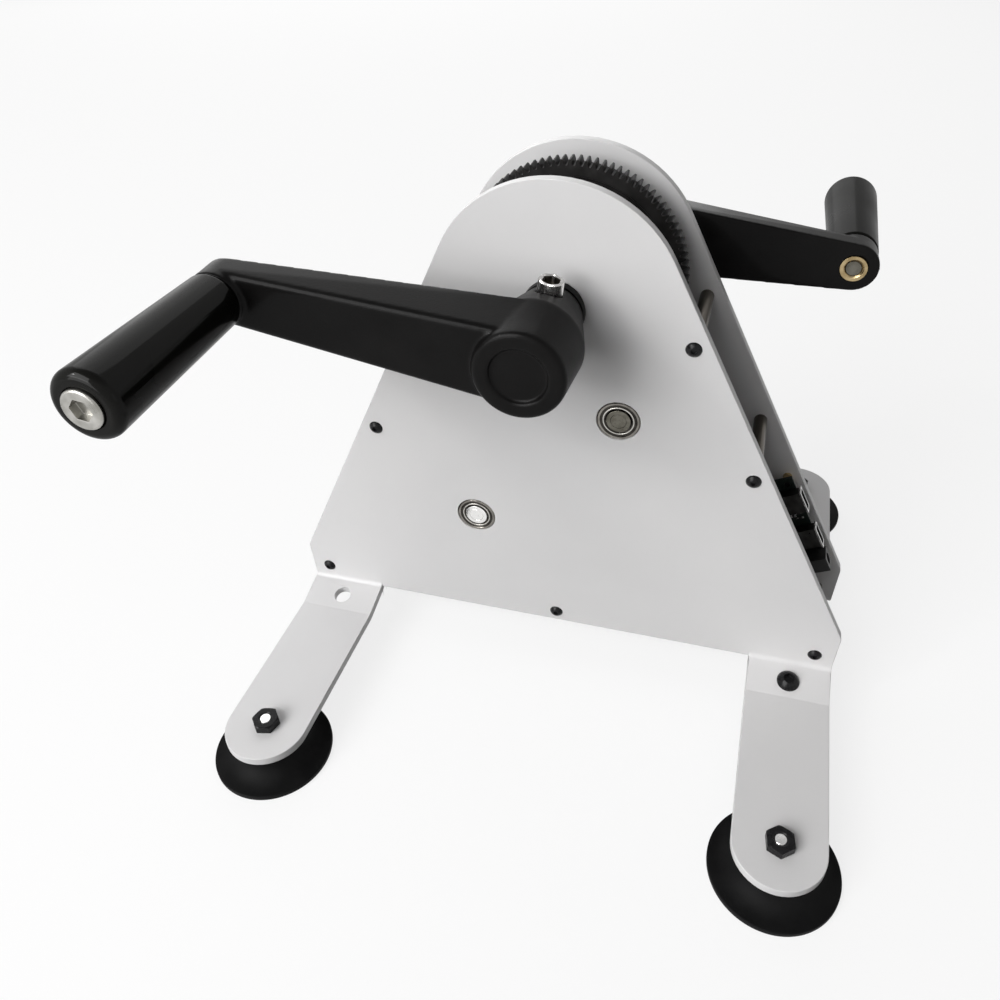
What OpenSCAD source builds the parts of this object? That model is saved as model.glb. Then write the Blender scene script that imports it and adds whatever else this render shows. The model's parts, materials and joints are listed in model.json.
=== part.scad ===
// Table-top crank generator: two bent side plates, a geared and belted drive,
// a built-in generator and a board with two USB sockets and a round power jack.
// Millimetres. X to the right, Y to the rear, Z up. The origin is on the table,
// midway between the plates, straight below the crank axis.

/* [Side plates] */
// Thickness of the bent sheet
plate_t = 5; // [3:0.5:6]
// Clear gap between the two plates
plate_gap = 50; // [46:1:60]
// Height of the crank axis above the table
crank_h = 234; // [225:1:260]
// Radius of the rounded top, about the crank axis
top_r = 60; // [59:0.5:66]
// Half width of a plate at its widest corner
corner_x = 159; // [158:0.5:170]
// Height of the widest corner
corner_z = 53; // [45:1:60]
// Rounding of the widest corner
corner_r = 7; // [3:0.5:10]
// Height of the bottom edge between the legs
bottom_z = 27; // [25:0.5:30]

/* [Legs] */
// Distance of a leg's middle from the middle of the plate
leg_x = 135.5; // [125:0.5:136]
// Width of a leg
leg_w = 45; // [38:0.5:46]
// Inner radius of the bends
bend_r = 3; // [2:0.5:5]
// Length of the short sloping stretch
slope_len = 19; // [17:0.5:24]
// Fall of the sloping stretch, in degrees
slope_fall = 14; // [8:1:20]
// Height of the upper face of the foot tab
tab_z = 22.8; // [20:0.2:26]
// Distance from the plate's face to the foot stud
foot_reach = 108.5; // [90:0.5:120]
// Diameter of the hole in the sloping stretch
leg_hole_d = 10; // [8:0.5:12]

/* [Feet] */
// Diameter of the rubber foot at its rim
foot_d = 64; // [50:1:66]
// Diameter of the foot's neck
foot_neck_d = 36; // [26:1:44]
// Height of the foot's rim band
foot_rim_h = 3; // [2:0.5:5]
// Depth of the hollow under the foot
foot_hollow = 3; // [1:0.5:3.5]
// Diameter of the foot stud
stud_d = 6; // [5:0.5:8]
// Width of the foot nut across its flats
nut_af = 13; // [11:0.5:14]
// Height of the foot nut
nut_h = 5; // [4:0.5:8]

/* [Posts and screws] */
// Diameter of a spacer post
post_d = 7; // [6:0.5:10]
// Inset of the upper and middle posts from the slanting edge
post_inset = 8.2; // [7:0.1:10]
// Place of the upper posts, as a share of the slanting edge
upper_post_share = 0.176; // [0.15:0.002:0.2]
// Place of the middle posts, as a share of the slanting edge
middle_post_share = 0.509; // [0.46:0.002:0.54]
// Inset of the lower posts from the widest corner
lower_post_in = 11.5; // [10:0.5:16]
// Height of the lower posts above the bottom edge
lower_post_up = 10.5; // [10:0.5:16]
// Height of the single post above the bottom edge
base_post_up = 7; // [6:0.5:12]
// Length of a post screw's thread in its post
post_thread = 10; // [8:0.5:14]
// Thread diameter of the post screws
post_screw_d = 4; // [3:0.5:5]
// Diameter of the post screws' heads
post_head_d = 7.8; // [6:0.1:9]
// Thread diameter of the screw in the front right leg
leg_screw_d = 8; // [6:0.5:8]
// Diameter of that screw's head
leg_head_d = 12.5; // [12:0.5:15]

/* [Gears] */
// Module of the gear teeth
gear_module = 1.2; // [1.1:0.02:1.22]
// Teeth of the drive gear
gear_teeth = 92; // [86:1:92]
// Teeth of the pinion
pinion_teeth = 18; // [16:1:20]
// Face width of the drive gear
gear_w = 8; // [8:0.5:16]
// Rear face of the drive gear, behind the middle plane
gear_back = 15; // [11:0.5:15]
// Thickness of the drive gear's web
web_t = 6; // [4:0.5:8]
// Direction from the crank to the pinion, in degrees
pinion_dir = -61; // [-65:1:-55]

/* [Belt drive] */
// Outer radius of the idler's pulley
idler_pulley_r = 24; // [20:0.5:30]
// Outer radius of the generator's pulley
gen_pulley_r = 12; // [10:0.5:15]
// Ribs on the belt
belt_ribs = 4; // [3:1:4]
// Pitch of the ribs
rib_pitch = 2.34; // [2:0.02:2.4]
// Thickness of the belt's back
belt_t = 1.6; // [1:0.1:2.5]
// Middle of the belt, in front of the middle plane
belt_mid = 15.5; // [15:0.1:16]

/* [Crank] */
// Distance from the crank axis to a grip's axis
arm_r = 136; // [120:1:140]
// Tilt of the front arm, its grip end up
front_tilt = 8.2; // [-20:0.1:20]
// Tilt of the rear arm, its grip end down
rear_tilt = 6; // [-20:0.1:20]
// Diameter of the crank shaft
crank_shaft_d = 12; // [10:0.5:12]
// Diameter of an arm's round hub at its outer face
hub_d = 41; // [37:0.5:43]
// Diameter of the hub at the arm's inner face, where the cone of the boss meets it
hub_root_d = 44; // [41:0.5:46]
// Diameter of the boss at the ring
boss_d = 29; // [26:0.5:32]
// Diameter of the ring between the boss and the plate
ring_d = 30; // [29:0.5:36]
// Distance from the plate to the boss
ring_t = 5; // [3.5:0.5:8]
// Length of boss and hub together
hub_len = 56.5; // [52:0.5:62]
// Diameter of the round recess in a hub's face
hub_recess_d = 25.5; // [16:0.5:28]
// Depth of that recess
hub_recess = 2; // [1:0.5:4]
// Height of a hub's face above the arm
hub_proud = 3.5; // [2:0.5:6]
// Thickness of an arm at its hub
arm_t = 24; // [20:0.5:28]
// Thickness of an arm at its grip end
arm_end_t = 13; // [12:0.5:18]
// Width of an arm's outer face at its hub
arm_root_w = 36.6; // [32:0.2:38]
// Diameter of an arm's grip end
arm_end_d = 26; // [25:0.5:30]
// Rounding of an arm's outer edges
arm_round = 3; // [2:0.5:4]
// Height of the collar round the grip's foot
collar_h = 2.4; // [1.5:0.1:4]
// Distance from the plate to the clamp screw
clamp_reach = 17; // [15:0.5:20]
// Thread diameter of the clamp screw
clamp_d = 7; // [5:0.5:7]
// Diameter of the clamp screw's head
clamp_head_d = 11.5; // [10:0.1:12]
// Height of the clamp screw's head
clamp_head_h = 8.2; // [6:0.1:9]

/* [Grips] */
// Length of a grip
grip_len = 85; // [80:1:110]
// Diameter of a grip at the arm
grip_inner_d = 26; // [22:0.5:28]
// Diameter of a grip at its outer end
grip_outer_d = 30; // [27:0.5:33]
// Rounding of the grip's outer end
grip_round = 4; // [2:0.5:5]
// Rounding of the grip's end at the arm
grip_lip = 2; // [1:0.5:3]
// Diameter of the grip's bolt
pivot_d = 10; // [9:0.5:11]
// Thread diameter of that bolt in the arm
pivot_thread_d = 8; // [6:0.5:8]
// Diameter of the bolt's head
pivot_head_d = 17; // [15:0.5:18]
// Height of the bolt's head
pivot_head_h = 6; // [5:0.5:8]
// Depth of the pocket that the head sits in
pivot_pocket = 4.8; // [3:0.1:5]
// Outside diameter of the threaded insert in the arm
insert_d = 14; // [12:0.5:16]
// Length of that insert
insert_len = 10; // [8:0.5:11]

/* [Bearings] */
// Outside diameter of the crank bearings
big_od = 28; // [26:0.5:30]
// Width of the crank bearings
big_w = 8; // [7:0.5:9]
// Outside diameter of the idler and generator bearings
small_od = 22; // [20:0.5:24]
// Width of the idler and generator bearings
small_w = 7; // [6:0.5:7]
// Diameter of the idler and generator shafts
small_shaft_d = 8; // [7:0.5:8]

/* [Generator] */
// Generator axis, to the left of the middle
gen_x = 46; // [42:0.5:50]
// Generator axis, below the crank axis
gen_drop = 134; // [128:0.5:140]
// Outside diameter of the generator's case
gen_d = 70; // [64:1:76]
// Wall of the case
gen_wall = 3; // [2:0.5:4]
// Front of the case, in front of the middle plane
gen_front = 8; // [7.5:0.1:8.4]
// Diameter of the case's rear flange
gen_flange_d = 86; // [82:1:94]
// Thickness of the magnets
magnet_t = 3; // [2:0.5:4]
// Gap between magnets and armature
air_gap = 0.8; // [0.5:0.1:1.5]
// Length of the armature's core
core_len = 12; // [8:0.5:13]
// Slots in the armature's core
core_slots = 12; // [8:1:16]

/* [Output board] */
// Distance from the board's lower end to the widest corner, along the slanting edge
board_rise = 11.3; // [9:0.1:16]
// Length of the board along that edge
board_len = 67; // [65:0.5:70]
// Depth of the board
board_deep = 30; // [28:0.5:36]
// Thickness of the board
board_t = 1.6; // [1:0.1:2]
// Length of the board's standoffs
standoff_len = 6; // [4:0.5:8]
// Set-back of the sockets' mouths from the plate's edge
mouth_inset = 0.5; // [0:0.5:3]
// Distance from the board's top to the middle of the first USB socket
usb_first = 14; // [12:0.5:15]
// Distance between the two USB sockets
usb_pitch = 26; // [22:0.5:27]
// Width, height and depth of a USB socket's shell
usb_w = 13.2; // [13.2:0.1:14.4]
usb_h = 5.8; // [5.6:0.1:6.8]
usb_deep = 14; // [12:0.5:16]
// Wall of the shell
usb_wall = 0.4; // [0.3:0.1:0.5]
// Distance from the board's top to the middle of the power jack
jack_at = 56; // [54:0.5:57]
// Width, height and depth of the power jack
jack_w = 9; // [8.5:0.5:10]
jack_h = 11; // [10:0.5:12]
jack_deep = 14; // [12:0.5:16]
// Diameter of the power jack's hole
jack_hole_d = 6.4; // [6:0.1:7]
// Diameter of the pin in that hole
jack_pin_d = 2.1; // [2:0.1:2.5]

/* [Fits] */
// Radial gap of a pressed or clamped seat
seat_gap = 0.02; // [0.01:0.01:0.03]
// Radial gap of a running fit
run_gap = 0.05; // [0.03:0.01:0.09]
// Gap between pieces that turn past each other
skin_gap = 0.3; // [0.2:0.05:0.4]
// Radial clearance of a screw in its hole
screw_gap = 0.2; // [0.1:0.05:0.3]
// Play between the gear teeth, along the pitch circle
backlash = 0.2; // [0.1:0.05:0.3]

/* [Hidden] */
$fn = 72;
hull_fn = 40;
half_gap = plate_gap / 2;
face = half_gap + plate_t;

// Outline of a plate, in X and Z: the slanting edge is tangent to the round top
corner = [corner_x, corner_z - crank_h];
edge_phi = atan2(corner[1], corner[0]) + acos(top_r / norm(corner));
edge_top = top_r * [cos(edge_phi), sin(edge_phi)];
edge_lean = edge_phi;
edge_len = sqrt(pow(norm(corner), 2) - pow(top_r, 2));

// Point of the right-hand slanting edge, by share of its length and inset, in X and Z
function edge_point(share, inset) =
    [0, crank_h] + edge_top + share * edge_len * [sin(edge_phi), -cos(edge_phi)]
    - inset * [cos(edge_phi), sin(edge_phi)];

// Leg bends, as distance in front of the middle plane and height
bend_1 = [face + bend_r, tab_z + bend_r + slope_len * sin(slope_fall)];
bend_2 = bend_1 + slope_len * [cos(slope_fall), -sin(slope_fall)];
foot_y = face + foot_reach;
foot_h = tab_z - plate_t;
leg_hole_at = bend_1 + slope_len / 2 * [cos(slope_fall), -sin(slope_fall)];

// Posts, in X and Z
right_posts = [
    edge_point(upper_post_share, post_inset),
    edge_point(middle_post_share, post_inset),
    [corner_x - lower_post_in, bottom_z + lower_post_up]
];
post_places = concat(
    [for (s = [-1, 1]) for (at = right_posts) [s * at[0], at[1]]],
    [[0, bottom_z + base_post_up]]
);
thread_room = 2;

// Gear pair, with the teeth shifted so that the small pinion isn't undercut
pressure = 20;
tooth_shift = 0.25;
gear_centres = gear_module * (gear_teeth + pinion_teeth) / 2;
pinion_over = 0.5;
idler_at = [gear_centres * cos(pinion_dir), crank_h + gear_centres * sin(pinion_dir)];
gen_at = [-gen_x, crank_h - gen_drop];
gear_front = gear_back - gear_w;
gear_root_r = gear_module * (gear_teeth / 2 - 1.25 - tooth_shift);
gear_rim = 5;
gear_hub_r = 15;

// Belt: ribs in grooves, and the tangent geometry of its two runs
rib_top = 1.9;
rib_depth = 1.7;
pulley_edge = 1.5;
belt_w = belt_ribs * rib_pitch;
pulley_w = belt_w + 2 * pulley_edge;
belt_span = norm(gen_at - idler_at);
belt_dir = atan2(gen_at[1] - idler_at[1], gen_at[0] - idler_at[0]);
belt_kappa = acos((idler_pulley_r - gen_pulley_r) / belt_span);
belt_run = sqrt(pow(belt_span, 2) - pow(idler_pulley_r - gen_pulley_r, 2));

// Crank, as distance outward from the middle plane
hub_back = face + ring_t;
hub_front = hub_back + hub_len;
arm_front = hub_front - hub_proud;
arm_back = arm_front - arm_t;
arm_end_back = arm_front - arm_end_t;
shaft_end = arm_front - 8;
collar_front = arm_front + collar_h;
grip_start = collar_front + skin_gap;
grip_end = grip_start + grip_len;
insert_back = arm_end_back - insert_d / 10;
clamp_at = face + clamp_reach;
clamp_head_r = clamp_head_d / 2;
clamp_seat = boss_d / 2 + 0.6;

// Bearings: pitch circle and balls
function ball_pitch_r(od, shaft_d) = (od + shaft_d) / 4;
function ball_r(od, shaft_d) = (od - shaft_d) / 7.5;
race_gap = 0.1;
shield_t = 0.6;
big_balls = 8;
small_balls = 7;

// Generator, as distance behind the middle plane
gen_bore_r = gen_d / 2 - gen_wall;
flange_t = 4;
magnet_len = core_len + 6;
core_r = gen_bore_r - magnet_t - air_gap;
core_front = 2 - gen_front + gen_wall + 4;
winding_r = 2.3;
commutator_r = 9;
commutator_back = half_gap - 2.5;
commutator_len = 4.5;
brush_w = 4;
brush_len = 12;
gen_screws = 4;
gen_screw_r = 2;
gen_screw_pitch_r = (gen_d + gen_flange_d) / 4;

// Board, in the frame of the right-hand slanting edge
board_start = edge_len - board_rise - board_len;
board_y = half_gap - standoff_len - board_t;
board_edge = mouth_inset + 2.5;
board_screw_r = 1.5;
board_corner = 4;
standoff_r = 2.6;
tongue_t = 1.9;

// Placing helpers

// Extrudes a drawing in X and Z from y0 to y1
module slab(y0, y1) {
    translate([0, y1, 0]) rotate([90, 0, 0]) linear_extrude(y1 - y0) children();
}

// Turns a drawing of radius and Y about a Y axis through the point at
module turned(at) {
    translate([at[0], 0, at[1]]) rotate([-90, 0, 0]) rotate_extrude() children();
}

// Round bar or hole along Y
module rod(r, y0, y1, at) {
    translate([at[0], y0, at[1]]) rotate([-90, 0, 0]) cylinder(r = r, h = y1 - y0);
}

// Round tube along Y
module tube(r_out, r_in, y0, y1, at) {
    turned(at) translate([r_in, y0]) square([r_out - r_in, y1 - y0]);
}

// Keeps the front as drawn, or mirrors it to the rear
module to_side(rear) {
    if (rear) mirror([0, 1, 0]) children();
    else children();
}

// Crank frame: z outward from the middle plane, the arm along minus x, y square to the arm
module on_crank(rear) {
    tilt = rear ? rear_tilt : front_tilt;
    turn = rear ? 180 : 0;
    translate([0, 0, crank_h]) rotate([0, tilt, 0]) rotate([0, 0, turn]) rotate([90, 0, 0]) children();
}

// Frame of the right-hand slanting edge: x outward, y to the rear, z up along the edge
module on_edge(down) {
    translate([edge_top[0], 0, crank_h + edge_top[1]])
        rotate([0, -edge_lean, 0]) translate([0, 0, -down]) children();
}

// Leg frame: x away from the middle plane, y up, z across the leg
module on_leg(rear, x) {
    to_side(rear) translate([x, 0, 0]) rotate([90, 0, -90]) children();
}

// Half drawing of a round bar with a rounded rim at its upper end
module bar_profile(r, z0, z1, round) {
    translate([0, z0]) square([r, z1 - z0 - round]);
    translate([0, z0]) square([r - round, z1 - z0]);
    translate([r - round, z1 - round]) circle(round);
}

// Domed screw along minus Y from the face at y, with a hex socket
module dome_screw(d, head_d, reach) {
    head_h = d * 0.55;
    dome_r = (pow(head_d / 2, 2) + pow(head_h, 2)) / (2 * head_h);
    difference() {
        union() {
            rotate_extrude() intersection() {
                translate([0, head_h - dome_r]) circle(dome_r);
                square([head_d / 2, head_h]);
            }
            translate([0, 0, -reach]) cylinder(r = d / 2, h = reach + head_h / 2);
        }
        translate([0, 0, head_h * 0.4]) cylinder(d = d * 0.7, h = head_h, $fn = 6);
    }
}

// Hex nut with its lower face at z = 0
module hex_nut(af, h, bore_r) {
    corner_r = af / sqrt(3);
    difference() {
        intersection() {
            cylinder(r = corner_r, h = h, $fn = 6);
            rotate_extrude() polygon([
                [0, 0], [corner_r, 0], [corner_r, h * 0.85], [af / 2 * 0.98, h], [0, h]
            ]);
        }
        translate([0, 0, -1]) cylinder(r = bore_r, h = h + 2);
    }
}

// Involute angle in degrees for a pressure angle
function involute(a) = tan(a) * 180 / PI - a;

// Half the angle that a tooth covers at radius r
function tooth_half(r, teeth, shift) =
    let (pitch_r = gear_module * teeth / 2)
    let (base_r = pitch_r * cos(pressure))
    let (half = (PI / 2 + 2 * shift * tan(pressure)) / teeth * 180 / PI)
    let (play = backlash / 4 / pitch_r * 180 / PI)
    half - play + involute(pressure) - involute(acos(min(1, base_r / r)));

// Outline of a gear with one tooth on the X axis
module gear_outline(teeth, shift) {
    pitch_r = gear_module * teeth / 2;
    tip_r = pitch_r + gear_module * (1 + shift);
    root_r = pitch_r - gear_module * (1.25 - shift);
    start_r = max(root_r, pitch_r * cos(pressure));
    steps = 3;
    radii = [for (i = [0 : steps]) start_r + (tip_r - start_r) * i / steps];
    flank = concat(
        [[root_r, tooth_half(start_r, teeth, shift)]],
        [for (r = radii) if (r > root_r + 0.01) [r, tooth_half(r, teeth, shift)]]
    );
    last = len(flank) - 1;
    polygon([
        for (k = [0 : teeth - 1])
            for (i = [0 : 2 * last + 1])
                let (p = i <= last ? flank[i] : flank[2 * last + 1 - i])
                let (side = i <= last ? -1 : 1)
                let (a = 360 * k / teeth + side * p[1])
                p[0] * [cos(a), sin(a)]
    ]);
}

// Side plates

module plate_outline() {
    leg_in = leg_x - leg_w / 2;
    leg_out = leg_x + leg_w / 2;
    up = unit([edge_top[0], crank_h + edge_top[1]] - [corner_x, corner_z]);
    down = unit([leg_out, bend_1[1]] - [corner_x, corner_z]);
    half = acos(up * down) / 2;
    reach = corner_r / tan(half);
    middle = [corner_x, corner_z] + unit(up + down) * corner_r / sin(half);
    side = [
        edge_top + [0, crank_h],
        [corner_x, corner_z] + up * reach,
        [corner_x, corner_z] + down * reach,
        [leg_out, bend_1[1]],
        [leg_in, bend_1[1]],
        [leg_in, bottom_z]
    ];
    translate([0, crank_h]) circle(top_r);
    polygon(concat(side, [for (i = [len(side) - 1 : -1 : 0]) [-side[i][0], side[i][1]]]));
    for (s = [-1, 1]) translate([s * middle[0], middle[1]]) circle(corner_r);
}

function unit(v) = v / norm(v);

// Ring sector of a bend, about the origin
module bend_sector(from, to) {
    far = 3 * (bend_r + plate_t);
    mid = (from + to) / 2;
    intersection() {
        difference() {
            circle(bend_r + plate_t);
            circle(bend_r);
        }
        polygon([[0, 0], far * [cos(from), sin(from)], far * [cos(mid), sin(mid)], far * [cos(to), sin(to)]]);
    }
}

module leg(rear, x) {
    on_leg(rear, x) {
        linear_extrude(leg_w, center = true) {
            translate(bend_1) bend_sector(180, 270 - slope_fall);
            translate(bend_1) rotate(-slope_fall)
                translate([0, -bend_r - plate_t]) square([slope_len, plate_t]);
            translate(bend_2) bend_sector(270 - slope_fall, 270);
            translate([bend_2[0], tab_z - plate_t]) square([foot_y - bend_2[0], plate_t]);
        }
        translate([foot_y, tab_z, 0]) rotate([90, 0, 0]) cylinder(d = leg_w, h = plate_t);
    }
}

module leg_holes(rear, x) {
    hole_h = 4 * plate_t;
    on_leg(rear, x) {
        translate(leg_hole_at) rotate([0, 0, -slope_fall]) translate([0, -bend_r - plate_t / 2, 0])
            rotate([90, 0, 0]) cylinder(d = leg_hole_d, h = hole_h, center = true);
        translate([foot_y, tab_z - plate_t / 2, 0]) rotate([90, 0, 0])
            cylinder(r = stud_d / 2 + screw_gap, h = hole_h, center = true);
    }
}

module side_plate(rear) {
    difference() {
        union() {
            to_side(rear) slab(-face, -half_gap) plate_outline();
            for (s = [-1, 1]) leg(rear, s * leg_x);
        }
        for (s = [-1, 1]) leg_holes(rear, s * leg_x);
        to_side(rear) {
            rod(big_od / 2 + seat_gap, -face - 1, -half_gap + 1, [0, crank_h]);
            for (at = [idler_at, gen_at]) rod(small_od / 2 + seat_gap, -face - 1, -half_gap + 1, at);
            for (at = post_places) rod(post_screw_d / 2 + screw_gap, -face - 1, -half_gap + 1, at);
        }
        if (rear) {
            for (at = gen_screw_places()) rod(gen_screw_r + screw_gap, half_gap - 1, face + 1, at);
            board_screw_places() rotate([-90, 0, 0])
                cylinder(r = board_screw_r + screw_gap, h = 4 * plate_t, center = true);
        }
    }
}

module front_plate() { color("whitesmoke") side_plate(false); }
module rear_plate() { color("whitesmoke") side_plate(true); }

module spacer_posts() {
    depth = post_thread + thread_room;
    color("darkgray") for (at = post_places) difference() {
        rod(post_d / 2, -half_gap, half_gap, at);
        for (y = [-half_gap - 1, half_gap - depth])
            rod(post_screw_d / 2 + seat_gap, y, y + depth + 1, at);
    }
}

module post_screws(rear) {
    reach = plate_t + post_thread;
    to_side(rear) for (at = post_places)
        translate([at[0], -face, at[1]]) rotate([90, 0, 0]) dome_screw(post_screw_d, post_head_d, reach);
}

module front_post_screws() { color("dimgray") post_screws(false); }
module rear_post_screws() { color("dimgray") post_screws(true); }

// Feet

module foot(rear, x) {
    rim_r = foot_d / 2;
    neck_r = foot_neck_d / 2;
    neck_h = 4;
    flare_h = foot_h - foot_rim_h - neck_h;
    hollow_r = rim_r - 4;
    dish_r = (pow(hollow_r, 2) + pow(foot_hollow, 2)) / (2 * foot_hollow);
    socket = foot_h - foot_hollow - 4;
    flare = [for (a = [0 : 10 : 90])
        [rim_r - (rim_r - neck_r) * sin(a), foot_rim_h + flare_h * (1 - cos(a))]];
    color("black") to_side(rear) translate([x, -foot_y, 0]) difference() {
        rotate_extrude() polygon(concat([[0, 0], [rim_r, 0]], flare, [[neck_r, foot_h], [0, foot_h]]));
        rotate_extrude() intersection() {
            translate([0, foot_hollow - dish_r]) circle(dish_r);
            square([hollow_r + 1, foot_hollow + 1]);
        }
        translate([0, 0, foot_h - socket]) cylinder(r = stud_d / 2 + seat_gap, h = socket + 1);
    }
}

module front_left_foot() { foot(false, -leg_x); }
module front_right_foot() { foot(false, leg_x); }
module rear_left_foot() { foot(true, -leg_x); }
module rear_right_foot() { foot(true, leg_x); }

// Calls its children at the four foot studs
module at_feet() {
    for (sx = [-1, 1]) for (sy = [-1, 1]) translate([sx * leg_x, sy * foot_y, 0]) children();
}

module foot_studs() {
    bottom = foot_hollow + 4;
    sunk = 0.4;
    color("silver") at_feet() translate([0, 0, bottom]) cylinder(d = stud_d, h = tab_z + nut_h - sunk - bottom);
}

module foot_nuts() {
    color("dimgray") at_feet() translate([0, 0, tab_z]) hex_nut(nut_af, nut_h, stud_d / 2 + seat_gap);
}

// Puts its children on the upper face of the front right sloping stretch, z square to it
module on_slope() {
    on_leg(false, leg_x) translate(leg_hole_at) rotate([0, 0, -slope_fall])
        translate([0, -bend_r, 0]) rotate([-90, 0, 0]) children();
}

module leg_screw() {
    color("dimgray") on_slope() dome_screw(leg_screw_d, leg_head_d, plate_t + leg_screw_d);
}

module leg_screw_nut() {
    color("dimgray") on_slope() translate([0, 0, -plate_t]) mirror([0, 0, 1])
        hex_nut(nut_af, nut_h * 0.7, leg_screw_d / 2 + seat_gap);
}

// Bearings: half drawings of radius and Y, from 0 to w

module ring_half(r_in, r_out, w, od, shaft_d) {
    difference() {
        translate([r_in, 0]) square([r_out - r_in, w]);
        translate([ball_pitch_r(od, shaft_d), w / 2]) circle(ball_r(od, shaft_d) + race_gap);
    }
}

function race_in(od, shaft_d) = ball_pitch_r(od, shaft_d) - ball_r(od, shaft_d) * 0.55;
function race_out(od, shaft_d) = ball_pitch_r(od, shaft_d) + ball_r(od, shaft_d) * 0.55;

// Y where a bearing starts: flush with the outer face of the front or rear plate
function bearing_y(rear, w) = rear ? face - w : -face;

module outer_rings(at, od, shaft_d, w) {
    for (rear = [false, true]) turned(at) translate([0, bearing_y(rear, w)]) difference() {
        ring_half(race_out(od, shaft_d), od / 2, w, od, shaft_d);
        for (y = [-1, w - shield_t]) translate([0, y]) square([shield_seat(od, shaft_d), shield_t + 1]);
    }
}

function shield_seat(od, shaft_d) = race_out(od, shaft_d) + 0.8;

module inner_rings(at, od, shaft_d, w) {
    for (rear = [false, true]) turned(at) translate([0, bearing_y(rear, w)])
        ring_half(shaft_d / 2 + seat_gap, race_in(od, shaft_d), w, od, shaft_d);
}

module shields(at, od, shaft_d, w) {
    r_in = race_in(od, shaft_d) + skin_gap;
    r_out = shield_seat(od, shaft_d) - seat_gap;
    for (rear = [false, true]) for (y = [0, w - shield_t])
        tube(r_out, r_in, bearing_y(rear, w) + y, bearing_y(rear, w) + y + shield_t, at);
}

module balls(at, od, shaft_d, w, count) {
    for (rear = [false, true]) for (i = [0 : count - 1])
        translate([at[0], bearing_y(rear, w) + w / 2, at[1]]) rotate([0, 360 * i / count, 0])
            translate([ball_pitch_r(od, shaft_d), 0, 0]) sphere(ball_r(od, shaft_d), $fn = 24);
}

crank_at = [0, crank_h];

module crank_bearing_outer_rings() { color("silver") outer_rings(crank_at, big_od, crank_shaft_d, big_w); }
module crank_bearing_inner_rings() { color("silver") inner_rings(crank_at, big_od, crank_shaft_d, big_w); }
module crank_bearing_shields() { color("gray") shields(crank_at, big_od, crank_shaft_d, big_w); }
module crank_bearing_balls() { color("silver") balls(crank_at, big_od, crank_shaft_d, big_w, big_balls); }

module small_bearing_outer_rings() {
    color("silver") for (at = [idler_at, gen_at]) outer_rings(at, small_od, small_shaft_d, small_w);
}

module small_bearing_shields() {
    color("gray") for (at = [idler_at, gen_at]) shields(at, small_od, small_shaft_d, small_w);
}

module small_bearing_balls() {
    color("silver") for (at = [idler_at, gen_at]) balls(at, small_od, small_shaft_d, small_w, small_balls);
}

module idler_bearing_inner_rings() {
    color("silver") inner_rings(idler_at, small_od, small_shaft_d, small_w);
}

module generator_bearing_inner_rings() {
    color("silver") inner_rings(gen_at, small_od, small_shaft_d, small_w);
}

// Crank, its shaft and the drive gear

module crank_shaft() {
    color("silver") rod(crank_shaft_d / 2, -shaft_end, shaft_end, crank_at);
}

module drive_gear() {
    pocket = (gear_w - web_t) / 2;
    color([0.12, 0.12, 0.13]) difference() {
        slab(gear_front, gear_back) translate(crank_at) rotate(pinion_dir)
            gear_outline(gear_teeth, -tooth_shift);
        rod(crank_shaft_d / 2 + seat_gap, gear_front - 1, gear_back + 1, crank_at);
        for (y = [gear_front - 1, gear_back - pocket])
            tube(gear_root_r - gear_rim, gear_hub_r, y, y + pocket + 1, crank_at);
    }
}

module crank_sleeves() {
    r_in = crank_shaft_d / 2 + seat_gap;
    r_out = race_in(big_od, crank_shaft_d);
    inside = face - big_w;
    color("gray") {
        tube(r_out, r_in, -inside, gear_front, crank_at);
        tube(r_out, r_in, gear_back, inside, crank_at);
    }
}

module hub_rings() {
    r_in = crank_shaft_d / 2 + seat_gap;
    step = 0.6;
    color([0.1, 0.1, 0.1]) for (rear = [false, true]) to_side(rear) turned(crank_at) {
        translate([r_in, -hub_back]) square([ring_d / 2 - r_in, ring_t - step]);
        translate([r_in, -hub_back]) square([race_in(big_od, crank_shaft_d) - r_in, ring_t]);
    }
}

// Round end of an arm, for its hull: a drafted disc, sharp at the inner face and rounded at the outer one
module arm_disc(back_d, front_d, back) {
    rotate_extrude($fn = hull_fn) {
        polygon([
            [0, back], [back_d / 2, back], [front_d / 2, arm_front - arm_round],
            [front_d / 2 - arm_round, arm_front], [0, arm_front]
        ]);
        translate([front_d / 2 - arm_round, arm_front - arm_round]) circle(arm_round, $fn = 16);
    }
}

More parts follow.
